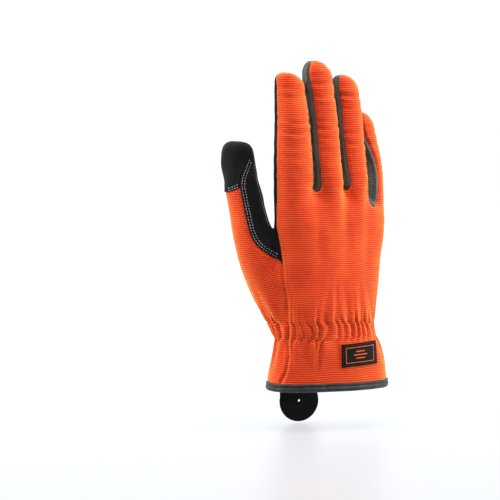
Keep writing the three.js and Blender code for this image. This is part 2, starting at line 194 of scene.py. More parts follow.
def evened(rows, spread):
    """A table's columns every millimetre, each averaged with a bell curve of the given spread, so that
    the loft has no kinks."""
    rows = np.asarray(rows, float)
    z = np.arange(rows[0, 0] - 30, rows[-1, 0] + 30, 1.0)
    bell = np.exp(-0.5 * (np.arange(-24, 25) / spread) ** 2)
    bell /= bell.sum()
    columns = [z]
    for c in rows.T[1:]:
        v = np.pad(np.interp(z, rows[:, 0], c), 24, mode="edge")
        columns.append(np.convolve(v, bell, mode="valid"))
    return np.array(columns)


HAND_TABLE = evened(HAND_ROWS, 4.0)
DIGIT_TABLES = {name: evened(rows, 5.0) for name, rows in DIGIT_ROWS.items()}
SEAM_TABLE = evened(THUMB_SEAM, 1.6)


def column(t, i, z):
    """Column i of an evened table at heights z, by straight lines."""
    return np.interp(z, t[0], t[i])


def stepped(z, a, b):
    """Smooth step from 0 at a to 1 at b."""
    t = np.clip((z - a) / (b - a), 0, 1)
    return t * t * (3 - 2 * t)


# The skin as a field


def loft_field(t, power, top, end, turned, x, y, z):
    """Near distance to a loft: with q the superellipse norm of the point about its section, it is r - r
    / q.

    Above the last section the norm gains the height over the tip's height, to the end's own power, which
    closes the loft as a dome. The height grows with x by the end's slope.
    """
    tip, square, slant = end
    dx, dy = x - column(t, 1, z), y - column(t, 2, z)
    if turned:
        a = np.radians(column(t, 5, z))
        dx, dy = dx * np.cos(a) + dy * np.sin(a), dy * np.cos(a) - dx * np.sin(a)
    up = np.maximum(z - top + slant * dx * stepped(z, top - 12, top + 4), 0)
    flat = (
        np.abs(dx / column(t, 3, z)) ** power + np.abs(dy / column(t, 4, z)) ** power
    ) ** (1 / power)
    q = (flat**square + (up / (tip - top)) ** square) ** (1 / square)
    r = np.sqrt(dx * dx + dy * dy + up * up)
    return r - r / np.maximum(q, 1e-6)


def digit_field(name, x, y, z):
    """The loft of one digit, fading out below its root inside the hand."""
    rows = DIGIT_ROWS[name]
    f = loft_field(DIGIT_TABLES[name], 2.08, rows[-1][0], TIPS[name], False, x, y, z)
    return f + 0.8 * np.maximum(rows[0][0] + 2 - z, 0)


def hand_field(x, y, z):
    """The loft of the hand, from the cuff to the knuckles."""
    return loft_field(HAND_TABLE, 2.3, 146.5, (HAND_TOP, 2.0, 0.0), True, x, y, z)


def blended(a, b, k):
    """The lesser of two fields, with their meeting line rounded over k millimetres."""
    h = np.maximum(k - np.abs(a - b), 0) / k
    return np.minimum(a, b) - h * h * k * 0.25


def glove_field(x, y, z):
    """The whole glove: fingers joined tightly, then to the hand, then the thumb with a wide web low
    down."""
    fingers = digit_field("index", x, y, z)
    for name in FINGERS[1:]:
        fingers = blended(fingers, digit_field(name, x, y, z), 0.7)
    body = blended(fingers, hand_field(x, y, z), 4.0)
    web = np.interp(z, [60, 85, 108, 124, 132], [6.0, 8.0, 9.0, 7.0, 2.0])
    return blended(body, digit_field("thumb", x, y, z), web)


def slope(points):
    """Gradient of the glove's field by central differences."""
    e = 0.05
    x, y, z = points.T
    g = np.stack(
        [
            glove_field(x + e, y, z) - glove_field(x - e, y, z),
            glove_field(x, y + e, z) - glove_field(x, y - e, z),
            glove_field(x, y, z + e) - glove_field(x, y, z - e),
        ],
        axis=1,
    )
    return g / (2 * e)


def settled(points, turns=3):
    """Points moved along the gradient until the field is zero, with their outward unit normals."""
    for _ in range(turns):
        g = slope(points)
        f = glove_field(*points.T)
        points = points - g * (f / np.maximum((g * g).sum(1), 0.05))[:, None]
    g = slope(points)
    return points, g / np.linalg.norm(g, axis=1)[:, None]


def level_surface(step):
    """Triangles of the field's zero level on a cubic grid: one point in each crossed cell, at the mean
    of the crossings on the cell's edges, and a face across each crossed grid edge."""
    x = np.arange(-82, 56, step)
    y = np.arange(-25, 37, step)
    z = np.arange(1, 250, step)
    v = glove_field(x[:, None, None], y[None, :, None], z[None, None, :]).astype(
        np.float32
    )
    inside = v < 0
    corners = [(i, j, k) for i in (0, 1) for j in (0, 1) for k in (0, 1)]
    n = [s - 1 for s in v.shape]
    count = sum(
        inside[i : i + n[0], j : j + n[1], k : k + n[2]].astype(np.int8)
        for i, j, k in corners
    )
    cells = np.argwhere((count > 0) & (count < 8))
    number = np.full(n, -1, np.int32)
    number[tuple(cells.T)] = np.arange(len(cells))
    value = {c: v[tuple((cells + c).T)] for c in corners}
    total = np.zeros((len(cells), 3))
    hits = np.zeros(len(cells))
    for a in corners:
        for axis in range(3):
            if a[axis]:
                continue
            b = tuple(1 if m == axis else a[m] for m in range(3))
            va, vb = value[a], value[b]
            cross = (va < 0) != (vb < 0)
            t = np.where(cross, va / np.where(cross, va - vb, 1), 0)
            p = np.tile(np.array(a, float), (len(cells), 1))
            p[:, axis] += t
            total += np.where(cross[:, None], p, 0)
            hits += cross
    points = (cells + total / hits[:, None]) * step + [x[0], y[0], z[0]]
    quads = []
    for axis in range(3):
        b, c = (axis + 1) % 3, (axis + 2) % 3
        low = [slice(1, -1)] * 3
        high = [slice(1, -1)] * 3
        low[axis], high[axis] = slice(0, -1), slice(1, None)
        start = inside[tuple(low)]
        change = np.argwhere(start != inside[tuple(high)])
        leaving = start[tuple(change.T)]
        base = change.copy()
        base[:, b] += 1
        base[:, c] += 1
        ring = []
        for db, dc in ((-1, -1), (0, -1), (0, 0), (-1, 0)):
            cell = base.copy()
            cell[:, b] += db
            cell[:, c] += dc
            ring.append(number[tuple(cell.T)])
        ring = np.stack(ring, axis=1)
        quads.append(np.where(leaving[:, None], ring, ring[:, ::-1]))
    quads = np.concatenate(quads)
    quads = quads[(quads >= 0).all(1)]
    faces = np.concatenate([quads[:, [0, 1, 2]], quads[:, [0, 2, 3]]])
    return points, faces


def relaxed(points, faces, turns):
    """Points drawn halfway to the mean of their neighbours and settled back on the skin, to even the
    faces."""
    a = faces[:, [0, 1, 2]].ravel()
    b = faces[:, [1, 2, 0]].ravel()
    degree = np.bincount(a, minlength=len(points))[:, None]
    for _ in range(turns):
        mean = np.stack(
            [np.bincount(a, points[b, m], len(points)) for m in range(3)], axis=1
        ) / np.maximum(degree, 1)
        moved = points + 0.5 * (mean - points)
        keep = points[:, 2] < 3.5
        moved[keep] = points[keep]
        points = settled(moved, 1)[0]
    return points


# Seams as fields on the skin, positive inside the piece they bound


def centre(name, z):
    """Middle of a digit at heights z, which stays put above its last section."""
    t = DIGIT_TABLES[name]
    z = np.minimum(z, DIGIT_ROWS[name][-1][0])
    return column(t, 1, z), column(t, 2, z)


def half_width(name, z, side):
    """Half width of a digit on its side of greater (1) or smaller (-1) x, closing over the slanted dome."""
    top = DIGIT_ROWS[name][-1][0]
    tip, square, slant = TIPS[name]
    half = column(DIGIT_TABLES[name], 3, np.minimum(z, top))
    share = np.clip((z - top + slant * side * 0.7 * half) / (tip - top), 0, 1)
    return half * (1 - share**square) ** (1 / square)


def seam_angle(rows, z):
    """A seam's angle in radians at heights z, from rows of height and degrees."""
    rows = np.asarray(rows, float)
    return np.radians(np.interp(z, rows[:, 0], rows[:, 1]))


def slit_field(slit, p):
    """A finger wall: the slot between its two fingers' seams seen square on, with a lower end like half
    an ellipse.

    Each finger's skin is measured from its own seam, up to half the slot's width. The back and the palm
    each have a slot of their own, which meet at the depth of that finger's centre. On the first finger
    the seams draw together under its tip, where the wall ends in an arch.
    """
    a, back_a, palm_a, b, back_b, palm_b, low_back, low_palm = slit
    x, y, z = p.T
    ax, ay = centre(a, z)
    bx, by = centre(b, z)
    table_a, table_b = DIGIT_TABLES[a], DIGIT_TABLES[b]
    on_a = np.hypot((x - ax) / column(table_a, 3, z), (y - ay) / column(table_a, 4, z))
    on_b = np.hypot((x - bx) / column(table_b, 3, z), (y - by) / column(table_b, 4, z))
    nearer_a = on_a < on_b
    middle = np.where(nearer_a, ay, by)
    closing = stepped(z, TIPS[a][0] - 22, TIPS[a][0] - 6)
    parts = []
    for angle_a, angle_b, low in (
        (seam_angle(back_a, z), seam_angle(back_b, z), low_back),
        (math.radians(palm_a), math.radians(palm_b), low_palm),
    ):
        left = ax + half_width(a, z, 1) * (np.sin(angle_a) + (0.95 - np.sin(angle_a)) * closing)
        right = bx + half_width(b, z, -1) * np.sin(angle_b)
        half = np.clip((right - left) / 2, 0.9, None)
        xm = (left + right) / 2
        foot = low + 2.4 * np.minimum(half, 3.4)
        across = np.where(nearer_a, np.minimum(x - xm, 0), np.maximum(x - xm, 0))
        parts.append(half - np.hypot(across, np.minimum(z - foot, 0) / 2.4))
    f = np.where(y < middle, parts[0], parts[1])
    tip = np.where(nearer_a, TIPS[a][0] - 8 - 0.16 * (y - ay) ** 2, TIPS[b][0] + 0.4)
    return np.minimum(f, tip - z)


def thumb_sector(p):
    """The strip between the thumb's two seams: the distance towards the thumb from the seam of the
    nearer side."""
    x, y, z = p.T
    front = column(SEAM_TABLE, 1, z)
    lean = np.gradient(SEAM_TABLE[1], SEAM_TABLE[0])
    front_run = np.sqrt(1 + np.interp(z, SEAM_TABLE[0], lean) ** 2)
    palm = column(SEAM_TABLE, 2, z)
    return np.where(
        y < column(SEAM_TABLE, 3, z), (front - x) / front_run, (palm - x) / 1.15
    )


def cap_edge(x):
    """Height of the thumb cap's sloping lower edge."""
    return 149.6 + 0.55 * (x + 68)


def cap_field(p):
    """The thumb's cap: the strip above its lower edge, with the slope of the edge taken out of the
    distance."""
    return np.minimum(thumb_sector(p), (p[:, 2] - cap_edge(p[:, 0])) / 1.14)


def palm_edge(x):
    """Height of the suede palm's lower edge, a shallow curve that rises at both ends."""
    return np.interp(x, [-44, -39, -26, -8, 8, 26, 36], [55, 54.0, 51.8, 50.8, 50.6, 51.4, 53])


def side_field(p):
    """The thumb's knit panel: the thumb's strip, and on the palm side of the cuff all that lies left of
    the strap."""
    x, y, z = p.T
    cuff = np.where(
        y < column(SEAM_TABLE, 3, z),
        -99.0,
        np.minimum(palm_edge(x) - z, STRAP_X - x),
    )
    return np.maximum(thumb_sector(p), cuff)


def back_field(p):
    """The knit back: in front of the line through the fingers' centres, out to its seams on the index
    and little finger, and all of the cuff below the suede."""
    x, y, z = p.T
    centres = [centre(name, z) for name in FINGERS]
    wrist = column(HAND_TABLE, 1, z) + column(HAND_TABLE, 3, z) - 13
    low = np.clip((118 - z) / 18, 0, 1)
    px, py = centres[3]
    px = px + (np.minimum(px, wrist) - px) * low
    centres[3] = (px, py)
    line = centres[0][1] + 0 * x
    for (ax, ay), (bx, by) in zip(centres, centres[1:]):
        line = np.where(x > ax, ay + (by - ay) * (x - ax) / (bx - ax), line)
    # the knit folds a little over each fingertip
    tips = np.array([TIPS[name][0] for name in FINGERS])
    nearest = np.argmin([np.abs(x - c[0]) for c in centres], axis=0)
    over = 2.4 * stepped(z - tips[nearest], -9, -1)
    between = line + over - y
    index_x, index_y = centres[0]
    a = math.radians(-84)
    left = (x - index_x) * math.cos(a) + (y - over - index_y) * math.sin(-a) * -1
    edge = np.interp(z, [94, 106, 118, 125], [-38.4, -39.8, -41.2, -42.8])
    web = np.minimum(x - edge, 2.0 - y)
    left = web + (left - web) * stepped(z, 116, 130)
    a = math.radians(130)
    right = (x - px) * -math.cos(a) - (y - over - py) * math.sin(a)
    f = np.where(x < index_x, left, np.where(x > px, right, between))
    return np.maximum(f, palm_edge(x) - z)


def cut(mesh, f):
    """The part of a triangle mesh where f is positive. Triangles across the zero line are split where a
    straight line between their corners' values meets zero."""
    points, faces = mesh
    f = np.where(np.abs(f) < 1e-5, 1e-5, f)
    positive = f > 0
    number = positive[faces].sum(1)
    whole = faces[number == 3]
    pieces = [whole]
    new_points = [points]
    one, two = faces[number == 1], faces[number == 2]

    def first(t, wanted):
        """Rotates each triangle so that its odd corner comes first."""
        k = np.argmax(positive[t] == wanted, axis=1)
        return np.take_along_axis(t, (k[:, None] + np.arange(3)) % 3, axis=1)

    one, two = first(one, True), first(two, False)
    edges = np.concatenate([one[:, [0, 1]], one[:, [0, 2]], two[:, [0, 1]], two[:, [0, 2]]])
    if len(edges):
        key = np.sort(edges, axis=1)
        unique, back = np.unique(key, axis=0, return_inverse=True)
        back = back.ravel()
        fa, fb = f[unique[:, 0]], f[unique[:, 1]]
        t = (fa / (fa - fb))[:, None]
        new_points.append(points[unique[:, 0]] * (1 - t) + points[unique[:, 1]] * t)
        back = back + len(points)
        n1, n2 = len(one), len(two)
        a, b = back[:n1], back[n1 : 2 * n1]
        c, d = back[2 * n1 : 2 * n1 + n2], back[2 * n1 + n2 :]
        pieces.append(np.stack([one[:, 0], a, b], axis=1))
        pieces.append(np.stack([c, two[:, 1], two[:, 2]], axis=1))
        pieces.append(np.stack([c, two[:, 2], d], axis=1))
    faces = np.concatenate(pieces)
    points = np.concatenate(new_points)
    used, faces = np.unique(faces, return_inverse=True)
    return points[used], faces.reshape(-1, 3)


def welded(mesh, least=0.12):
    """Points of a cut edge that lie closer than the least distance are made one, and faces that vanish
    are dropped."""
    points, faces = mesh
    for _ in range(3):
        a = faces[:, [0, 1, 2]].ravel()
        b = faces[:, [1, 2, 0]].ravel()
        near = np.linalg.norm(points[a] - points[b], axis=1) < least
        if not near.any():
            break
        target = np.arange(len(points))
        lo, hi = np.minimum(a[near], b[near]), np.maximum(a[near], b[near])
        target[hi] = lo
        faces = target[faces]
        keep = (
            (faces[:, 0] != faces[:, 1])
            & (faces[:, 1] != faces[:, 2])
            & (faces[:, 2] != faces[:, 0])
        )
        faces = faces[keep]
    used, faces = np.unique(faces, return_inverse=True)
    return points[used], faces.reshape(-1, 3)


def largest(mesh):
    """The biggest connected body of a triangle mesh, found by spreading the lowest point number along
    the edges."""
    points, faces = mesh
    label = np.arange(len(points))
    a = faces[:, [0, 1, 2]].ravel()
    b = faces[:, [1, 2, 0]].ravel()
    while True:
        low = label.copy()
        np.minimum.at(low, a, label[b])
        np.minimum.at(low, b, label[a])
        low = low[low]
        low = low[low]
        if (low == label).all():
            break
        label = low
    best = np.bincount(label).argmax()
    faces = faces[label[faces[:, 0]] == best]
    used, faces = np.unique(faces, return_inverse=True)
    return points[used], faces.reshape(-1, 3)


def boundary(faces):
    """Directed edges that only one triangle has."""
    e = np.concatenate([faces[:, [0, 1]], faces[:, [1, 2]], faces[:, [2, 0]]])
    n = int(faces.max()) + 1
    forward = e[:, 0].astype(np.int64) * n + e[:, 1]
    reverse = e[:, 1].astype(np.int64) * n + e[:, 0]
    return e[~np.isin(forward, reverse)]


# Relief


def ripples(p, length, stretch, seed, count=9):
    """Soft noise: a sum of sine waves of about the given length, each in its own direction. stretch
    scales the axes."""
    rng = np.random.default_rng(seed)
    k = rng.normal(size=(count, 3))
    k = k / np.linalg.norm(k, axis=1)[:, None] * rng.uniform(0.6, 1.5, (count, 1))
    phase = rng.uniform(0, TAU, count)
    q = p * (np.asarray(stretch) * TAU / length)
    return np.sin(q @ k.T + phase).sum(1) / math.sqrt(count)


ARC_T = np.linspace(-math.pi, math.pi, 721)
ARC_S = np.concatenate(
    [
        [0],
        np.cumsum(
            np.hypot(
                np.diff(38.5 * np.cos(ARC_T)), np.diff(22.0 * np.sin(ARC_T))
            )
        ),
    ]
)
ARC_S /= ARC_S[-1]


def round_cuff(p):
    """Share of the way round the cuff, from 0 to 1, by arc length of its section."""
    t = np.arctan2((p[:, 1] - 2) / 22.0, (p[:, 0] + 1) / 38.5)
    return np.interp(t, ARC_T, ARC_S)


def gathers(p):
    """Puckers of the elastic wrist: round crests with sharp valleys, from the size of a cosine.

    They shift by half a pucker across each of two pinched lines. Beyond the lines each runs out as a
    fold of its own length and lean, the higher ones over the wrist and the shorter ones into the flared
    cuff.
    """
    z = p[:, 2]
    s = round_cuff(p)
    line_high = ELASTIC_HIGH + 0.9 * np.sin(TAU * 4 * s + 1)
    line_low = ELASTIC_LOW + 0.8 * np.sin(TAU * 3 * s)
    up, down = z - line_high, line_low - z
    above, below = np.maximum(up, 0), np.maximum(down, 0)
    wave = TAU * PUCKERS * s + 1.3 * np.sin(TAU * 2 * s + 0.7) + 1.0 * np.sin(TAU * 5 * s + 2.0)
    wave = wave + 0.7 * np.sin(TAU * 11 * s)
    lean = 0.9 * np.sin(TAU * 3 * s + 0.4) + 1.0 * np.sin(TAU * 7 * s + 1.9)
    wave = wave + lean * (z - ELASTIC_MIDDLE) / 9 - 0.05 * above * np.sin(TAU * 2 * s + 1.2)
    shift = math.pi * 0.5 * (2 + np.tanh(up / 1.6) + np.tanh(down / 1.6))
    crest = 2 * np.abs(np.cos((wave + shift) / 2)) ** 0.8 - 1.2
    size = 0.95 + 0.3 * np.sin(TAU * 6 * s + 1.3) + 0.2 * np.sin(TAU * 13 * s)
    turn = (wave + shift) / TAU
    reach_up = 8.5 + 4 * np.sin(2.4 * np.floor(turn) + 0.7) + 3 * np.sin(TAU * 2 * s + 0.3)
    reach_down = 8 + 4 * np.sin(1.9 * np.floor(turn) + 2.0)
    fading = np.exp(-((above / reach_up) ** 1.3)) * np.exp(-((below / reach_down) ** 1.2))
    d = 0.95 * size * crest * fading
    fine = np.abs(np.cos(wave + 1.1 + 0.8 * np.sin(TAU * 9 * s))) ** 0.8 - 0.6
    d += 0.5 * size * fine * np.exp(-((up / 4.0) ** 2))
    wide = 2 * np.abs(np.cos((wave + shift) / 4 + 0.5 * np.sin(TAU * 4 * s))) ** 1.3 - 1.1
    outside = 1 - np.exp(-(above + below) / 3.0)
    spent = np.exp(-((above / 19) ** 1.5)) * np.exp(-((below / 17) ** 2))
    d += size * wide * outside * spent
    d -= 0.45 * np.exp(-((up / 1.4) ** 2)) + 0.45 * np.exp(-((down / 1.4) ** 2))
    return d - 0.25 * np.exp(-(((z - ELASTIC_MIDDLE) / 9) ** 2))


# bends of the fingers: height, depth, width and tilt of each groove, which has a soft roll on both sides
FINGER_BENDS = {
    "index": ((216, 0.35, 1.6, 0.05), (197, 0.5, 1.5, -0.06), (189, 0.45, 1.3, 0.04), (171, 0.3, 1.8, 0.02)),
    "middle": ((226, 0.5, 1.7, 0.1), (216, 0.4, 1.4, -0.04), (193, 0.5, 1.4, 0.05), (186, 0.35, 1.2, -0.03)),
    "ring": (
        (217.5, 0.8, 1.5, -0.12),
        (208.5, 0.35, 1.3, 0.06),
        (190, 0.35, 1.3, 0.03),
        (182, 0.4, 1.4, -0.05),
    ),
    "pinky": ((190, 0.35, 1.3, 0.1), (182, 0.3, 1.2, 0.0), (167, 0.3, 1.5, 0.05)),
}


def creases(p):
    """Slack in the knit: fine level wrinkles, the bends at the finger joints, and wide hollows on the
    hand."""
    x, y, z = p.T
    on_finger = stepped(z, 140, 160)
    d = 0.16 * on_finger * ripples(p, 7.5, (0.35, 0.35, 1.0), 4)
    d += 0.2 * ripples(p, 24, (1, 1, 0.8), 8)
    # bends at the finger joints, as level grooves
    for name, bends in FINGER_BENDS.items():
        cx, cy = centre(name, z)
        near = stepped(-np.hypot(x - cx, y - cy), -17, -13) * stepped(cy - y, 0, 6)
        for h, depth, width, tilt in bends:
            off = (z - h - tilt * (x - cx) - 0.02 * (x - cx) ** 2) / width
            rolls = 0.45 * np.exp(-((off + 2.2) ** 2)) + 0.3 * np.exp(-((off - 2.2) ** 2))
            d -= depth * near * (np.exp(-(off**2)) - rolls)
    # hollows between the bones on the back of the hand
    back = stepped(-y, 0, 8) * stepped(z, 70, 120) * (1 - stepped(z, 146, 156))
    for x0, x1 in ((-12, -13), (10, 11), (27, 30)):
        xm = x0 + (x1 - x0) * (z - 80) / 70
        d -= 1.0 * back * np.exp(-(((x - xm) / 4.5) ** 2))
    return d


def palm_creases(p):
    """The suede palm's own folds: the curved fold round the ball of the thumb and two level ones under
    the fingers."""
    x, y, z = p.T
    palm = stepped(y, 2, 8)
    d = np.zeros(len(p))
    ball = np.interp(z, [56, 75, 92, 108, 118], [-8, -13, -22, -35, -46])
    reach = stepped(z, 52, 66) * (1 - stepped(z, 112, 122))
    d -= palm * np.exp(-(((x - ball) / 2.6) ** 2)) * reach
    for z0, rise, depth in ((122, 0.22, 0.7), (106, -0.32, 0.56)):
        line = z0 + rise * (x - 8)
        d -= depth * palm * np.exp(-(((z - line) / 2.0) ** 2)) * stepped(x, -26, -12)
    d += 0.3 * palm * ripples(p, 17, (1, 1, 1.2), 21)
    return d


def under_label(p):
    """1 where the label holds the cuff flat, 0 elsewhere, with a soft edge."""
    x, y, z = p.T
    low, high = LABEL_CORNERS.min(0), LABEL_CORNERS.max(0)
    m = stepped(x, low[0] - 3, low[0] + 1) * (1 - stepped(x, high[0] - 1, high[0] + 3))
    m *= stepped(z, low[1] - 3, low[1]) * (1 - stepped(z, high[1] - 0.5, high[1] + 2.5))
    return m * (y < 0)


def near_to(p, targets, reach=9.0):
    """Distance from each point to the nearest target, worked out in level slices; reach where none is
    near."""
    out = np.full(len(p), reach)
    if not len(targets):
        return out
    order = np.argsort(p[:, 2])
    heights = p[order, 2]
    for z0 in np.arange(heights[0], heights[-1] + 4, 4.0):
        rows = order[np.searchsorted(heights, z0) : np.searchsorted(heights, z0 + 4)]
        close = targets[(targets[:, 2] > z0 - reach) & (targets[:, 2] < z0 + 4 + reach)]
        if not len(rows) or not len(close):
            continue
        d = (
            (p[rows] ** 2).sum(1)[:, None]
            + (close**2).sum(1)[None]
            - 2 * p[rows] @ close.T
        ).min(1)
        out[rows] = np.minimum(np.sqrt(np.maximum(d, 0)), reach)
    return out


# what is made once: the panels of the skin, and the search tree over them
SKIN = {}
TREES = {}


def panels():
    """All panels of the skin, cut in the order in which they overlap: finger walls, cap, thumb panel,
    back, palm.

    Each is a dict of its points on the even skin, normals, faces, and raised points with the relief
    added.
    """
    if SKIN:
        return SKIN
    step = 0.92
    points, faces = level_surface(step)
    points = relaxed(points, faces, 3)
    mesh = cut((points, faces), points[:, 2] - 4.4)
    gap = 0.11
    made = {}
    rest = mesh
    for name, slit in SLITS.items():
        made[name] = cut(rest, slit_field(slit, rest[0]) - gap)
        rest = cut(rest, -slit_field(slit, rest[0]) - gap)
    made["thumb_cap"] = cut(rest, cap_field(rest[0]) - gap)
    rest = cut(rest, -cap_field(rest[0]) - gap)
    made["side_panel"] = cut(rest, side_field(rest[0]) - gap)
    rest = cut(rest, -side_field(rest[0]) - gap)
    made["back_panel"] = cut(rest, back_field(rest[0]) - gap)
    made["palm_panel"] = cut(rest, -back_field(rest[0]) - gap)
    for name, piece in made.items():
        p, f = largest(welded(piece))
        p, n = settled(p, 2)
        SKIN[name] = {"even": p, "normal": n, "faces": f}
    edges = {
        name: s["even"][np.unique(boundary(s["faces"]))] for name, s in SKIN.items()
    }
    edges = {name: e[e[:, 2] > 7] for name, e in edges.items()}
    side, cap = edges["side_panel"], edges["thumb_cap"]
    front = side[(side[:, 1] < column(SEAM_TABLE, 3, side[:, 2])) & (side[:, 2] > 95.0)]
    cap_low = cap[np.abs(cap[:, 2] - cap_edge(cap[:, 0])) < 1.0]
    cap_front = cap[cap[:, 1] < column(SEAM_TABLE, 3, cap[:, 2]) - 1]
    lapped = np.concatenate([front, cap_low, cap_front])
    everything = np.concatenate(list(edges.values()))
    plain = everything[near_to(everything, lapped) > 0.6]
    for name, s in SKIN.items():
        p = s["even"]
        rolled = near_to(p, plain)
        lap = near_to(p, lapped)
        d = gathers(p) * stepped(p[:, 2], 9, 20) * (1 - stepped(p[:, 2], 74, 92))
        d *= 1 - 0.9 * under_label(p)
        if name in ("palm_panel", "thumb_cap"):
            d += palm_creases(p) + 0.1 * ripples(p, 9, (1, 1, 1), 5)
            d += 0.4 * np.exp(-((lap / 5.5) ** 4)) - 0.22 * np.exp(-(((lap - 2.9) / 0.8) ** 2))
        else:
            d += creases(p) * (0.4 if name in SLITS else 1.0)
            d -= 0.25 * np.exp(-((lap / 1.2) ** 2))
        if name in SLITS:
            d += 0.35 * np.exp(-(((rolled - 1.7) / 0.8) ** 2)) - 1.5 * stepped(rolled, 2.0, 4.2)
        facing_up = stepped(s["normal"][:, 2], 0.3, 0.85)
        d -= (0.85 - 0.55 * facing_up) * np.exp(-((rolled / 1.05) ** 2))
        d += 0.22 * (1 - facing_up) * np.exp(-(((rolled - 2.4) / 1.2) ** 2))
        s["relief"] = d
        s["raised"] = p + s["normal"] * d[:, None]
    return SKIN


def skin_tree():
    """The raised skin of all panels in one search tree, in millimetres."""
    if "tree" not in TREES:
        points, faces, n = [], [], 0
        for s in panels().values():
            points.append(s["raised"])
            faces.append(s["faces"] + n)
            n += len(s["raised"])
        TREES["tree"] = BVHTree.FromPolygons(
            np.concatenate(points).tolist(), np.concatenate(faces).tolist()
        )
    return TREES["tree"]


def dropped(xz, side, lift):
    """Points where a square look from the back (side -1) or the palm (side 1) first meets the raised
    skin, lifted off along the skin's normal, and those normals."""
    tree = skin_tree()
    where, normals = [], []
    for x, z in xz:
        hit, n, _, _ = tree.ray_cast(Vector((x, side * 90, z)), Vector((0, -side, 0)))
        if hit is None:
            where.append((math.nan,) * 3)
            normals.append((0, side, 0))
            continue
        if n.y * side < 0:
            n = -n
        where.append(tuple(hit + n * lift))
        normals.append(tuple(n))
    return np.array(where), np.array(normals)


def from_inside(name, heights, angle, lift):
    """Points of the raised skin that a look out of a digit's middle meets, at an angle from the back of
    the hand towards the little finger, lifted off along the skin's outward normal, and those normals."""
    tree = skin_tree()
    a = math.radians(angle)
    out = Vector((math.sin(a), -math.cos(a), 0))
    cx, cy = centre(name, heights)
    where, normals = [], []
    for x, y, z in zip(cx, cy, heights):
        hit, n, _, _ = tree.ray_cast(Vector((x, y, z)), out)
        if hit is None:
            hit, n = Vector((math.nan,) * 3), out
        if n.dot(out) < 0:
            n = -n
        where.append(tuple(hit + n * lift))
        normals.append(tuple(n))
    return np.array(where), np.array(normals)


# Meshes


def add_mesh(name, points, faces, uv=None, sharp=None):
    """A mesh object in metres from arrays of millimetres; faces is a list of arrays of equal-sided
    faces."""
    faces = [f for f in faces if len(f)]
    mesh = bpy.data.meshes.new(name)
    loops = np.concatenate([f.ravel() for f in faces])
    sizes = np.concatenate([np.full(len(f), f.shape[1]) for f in faces])
    starts = np.concatenate([[0], np.cumsum(sizes)[:-1]])
    mesh.vertices.add(len(points))
    mesh.vertices.foreach_set("co", (np.asarray(points) * MM).astype(np.float32).ravel())
    mesh.loops.add(len(loops))
    mesh.loops.foreach_set("vertex_index", loops.astype(np.int32))
    mesh.polygons.add(len(sizes))
    mesh.polygons.foreach_set("loop_start", starts.astype(np.int32))
    if uv is not None:
        layer = mesh.uv_layers.new(name="weave")
        layer.data.foreach_set("uv", np.asarray(uv)[loops].astype(np.float32).ravel())
    mesh.polygons.foreach_set("use_smooth", np.ones(len(sizes), bool))
    mesh.update(calc_edges=True)
    mesh.validate()
    if sharp:
        mesh.set_sharp_from_angle(angle=math.radians(sharp))
    obj = bpy.data.objects.new(name, mesh)
    bpy.context.scene.collection.objects.link(obj)
    return obj


def finish_piece(obj, material, *nodes, slot=None):
    """Gives a piece its material, hangs it on the root body and hides the parts of model.glb that it stands
    for.
    """
    obj.data.materials.append(material)
    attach(obj, "root")
    if nodes:
        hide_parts(*nodes)
    return obj


def shell(points, normals, faces, thickness):
    """A sheet with a wall: the sheet, its copy drawn in along the normals, and a strip of quads round
    each edge."""
    n = len(points)
    inner = points - normals * thickness
    rim = boundary(faces)
    strip = np.stack([rim[:, 1], rim[:, 0], rim[:, 0] + n, rim[:, 1] + n], axis=1)
    return np.concatenate([points, inner]), [faces, faces[:, ::-1] + n, strip]


def weave_map(name, s):
    """Where a thread lies: u runs along the ribs by arc length, v across them, both in millimetres.

    v is the height, bent by the relief and by slow waves; on the thumb's panel the ribs climb towards
    the thumb.
    """
    p = s["even"]
    x, y, z = p.T
    fields = np.stack([digit_field(n, x, y, z) for n in FINGERS])
    owner = fields.argmin(0)
    cx = np.zeros(len(p))
    cy = np.zeros(len(p))
    for i, n in enumerate(FINGERS):
        c = centre(n, z)
        cx = np.where(owner == i, c[0], cx)
        cy = np.where(owner == i, c[1], cy)
    finger = z > 150
    cx = np.where(finger, cx, 0.0)
    cy = np.where(finger, cy, 2.0)
    size = np.where(finger, 11.5, 34.0)
    if name == "thumb_cap":
        cx, cy = centre("thumb", z)
        size = 13.0
    u = np.arctan2(x - cx, -(y - cy)) * size
    v = z + 0.5 * s["relief"] + 0.35 * ripples(p, 42, (1, 1, 1), 3)
    if name == "side_panel":
        v = v + 0.16 * (x + 50) * (1 - stepped(z, 100, 125))
    return np.stack([u, v], axis=1)


def make_panel(name, material, thickness, slot):
    """One panel of the skin as a shell of cloth with its weave's map."""
    s = panels()[name]
    points, faces = shell(s["raised"], s["normal"], s["faces"], thickness)
    uv = weave_map(name, s)
    obj = add_mesh(name + "_cloth", points, faces, np.concatenate([uv, uv]), sharp=58)
    return finish_piece(obj, material, name, slot=slot)


def grid_faces(rows, columns, wrap=False):
    """Quads of a grid of points, row by row; wrap joins the last column to the first."""
    i = np.arange(rows - 1)[:, None]
    j = np.arange(columns if wrap else columns - 1)[None]
    k = (j + 1) % columns
    a, b = i * columns + j, i * columns + k
    return np.stack([a, b, b + columns, a + columns], axis=-1).reshape(-1, 4)


def between_grids(rows, columns):
    """Faces of a closed patch between two grids of points: the upper one, the lower one and the strip
    round them."""
    n = rows * columns
    top = grid_faces(rows, columns)
    ring = np.concatenate(
        [
            np.arange(columns),
            np.arange(1, rows) * columns + columns - 1,
            (rows - 1) * columns + np.arange(columns - 2, -1, -1),
            np.arange(rows - 2, 0, -1) * columns,
        ]
    )
    after = np.roll(ring, -1)
    return [top, top[:, ::-1] + n, np.stack([after, ring, ring + n, after + n], axis=1)]


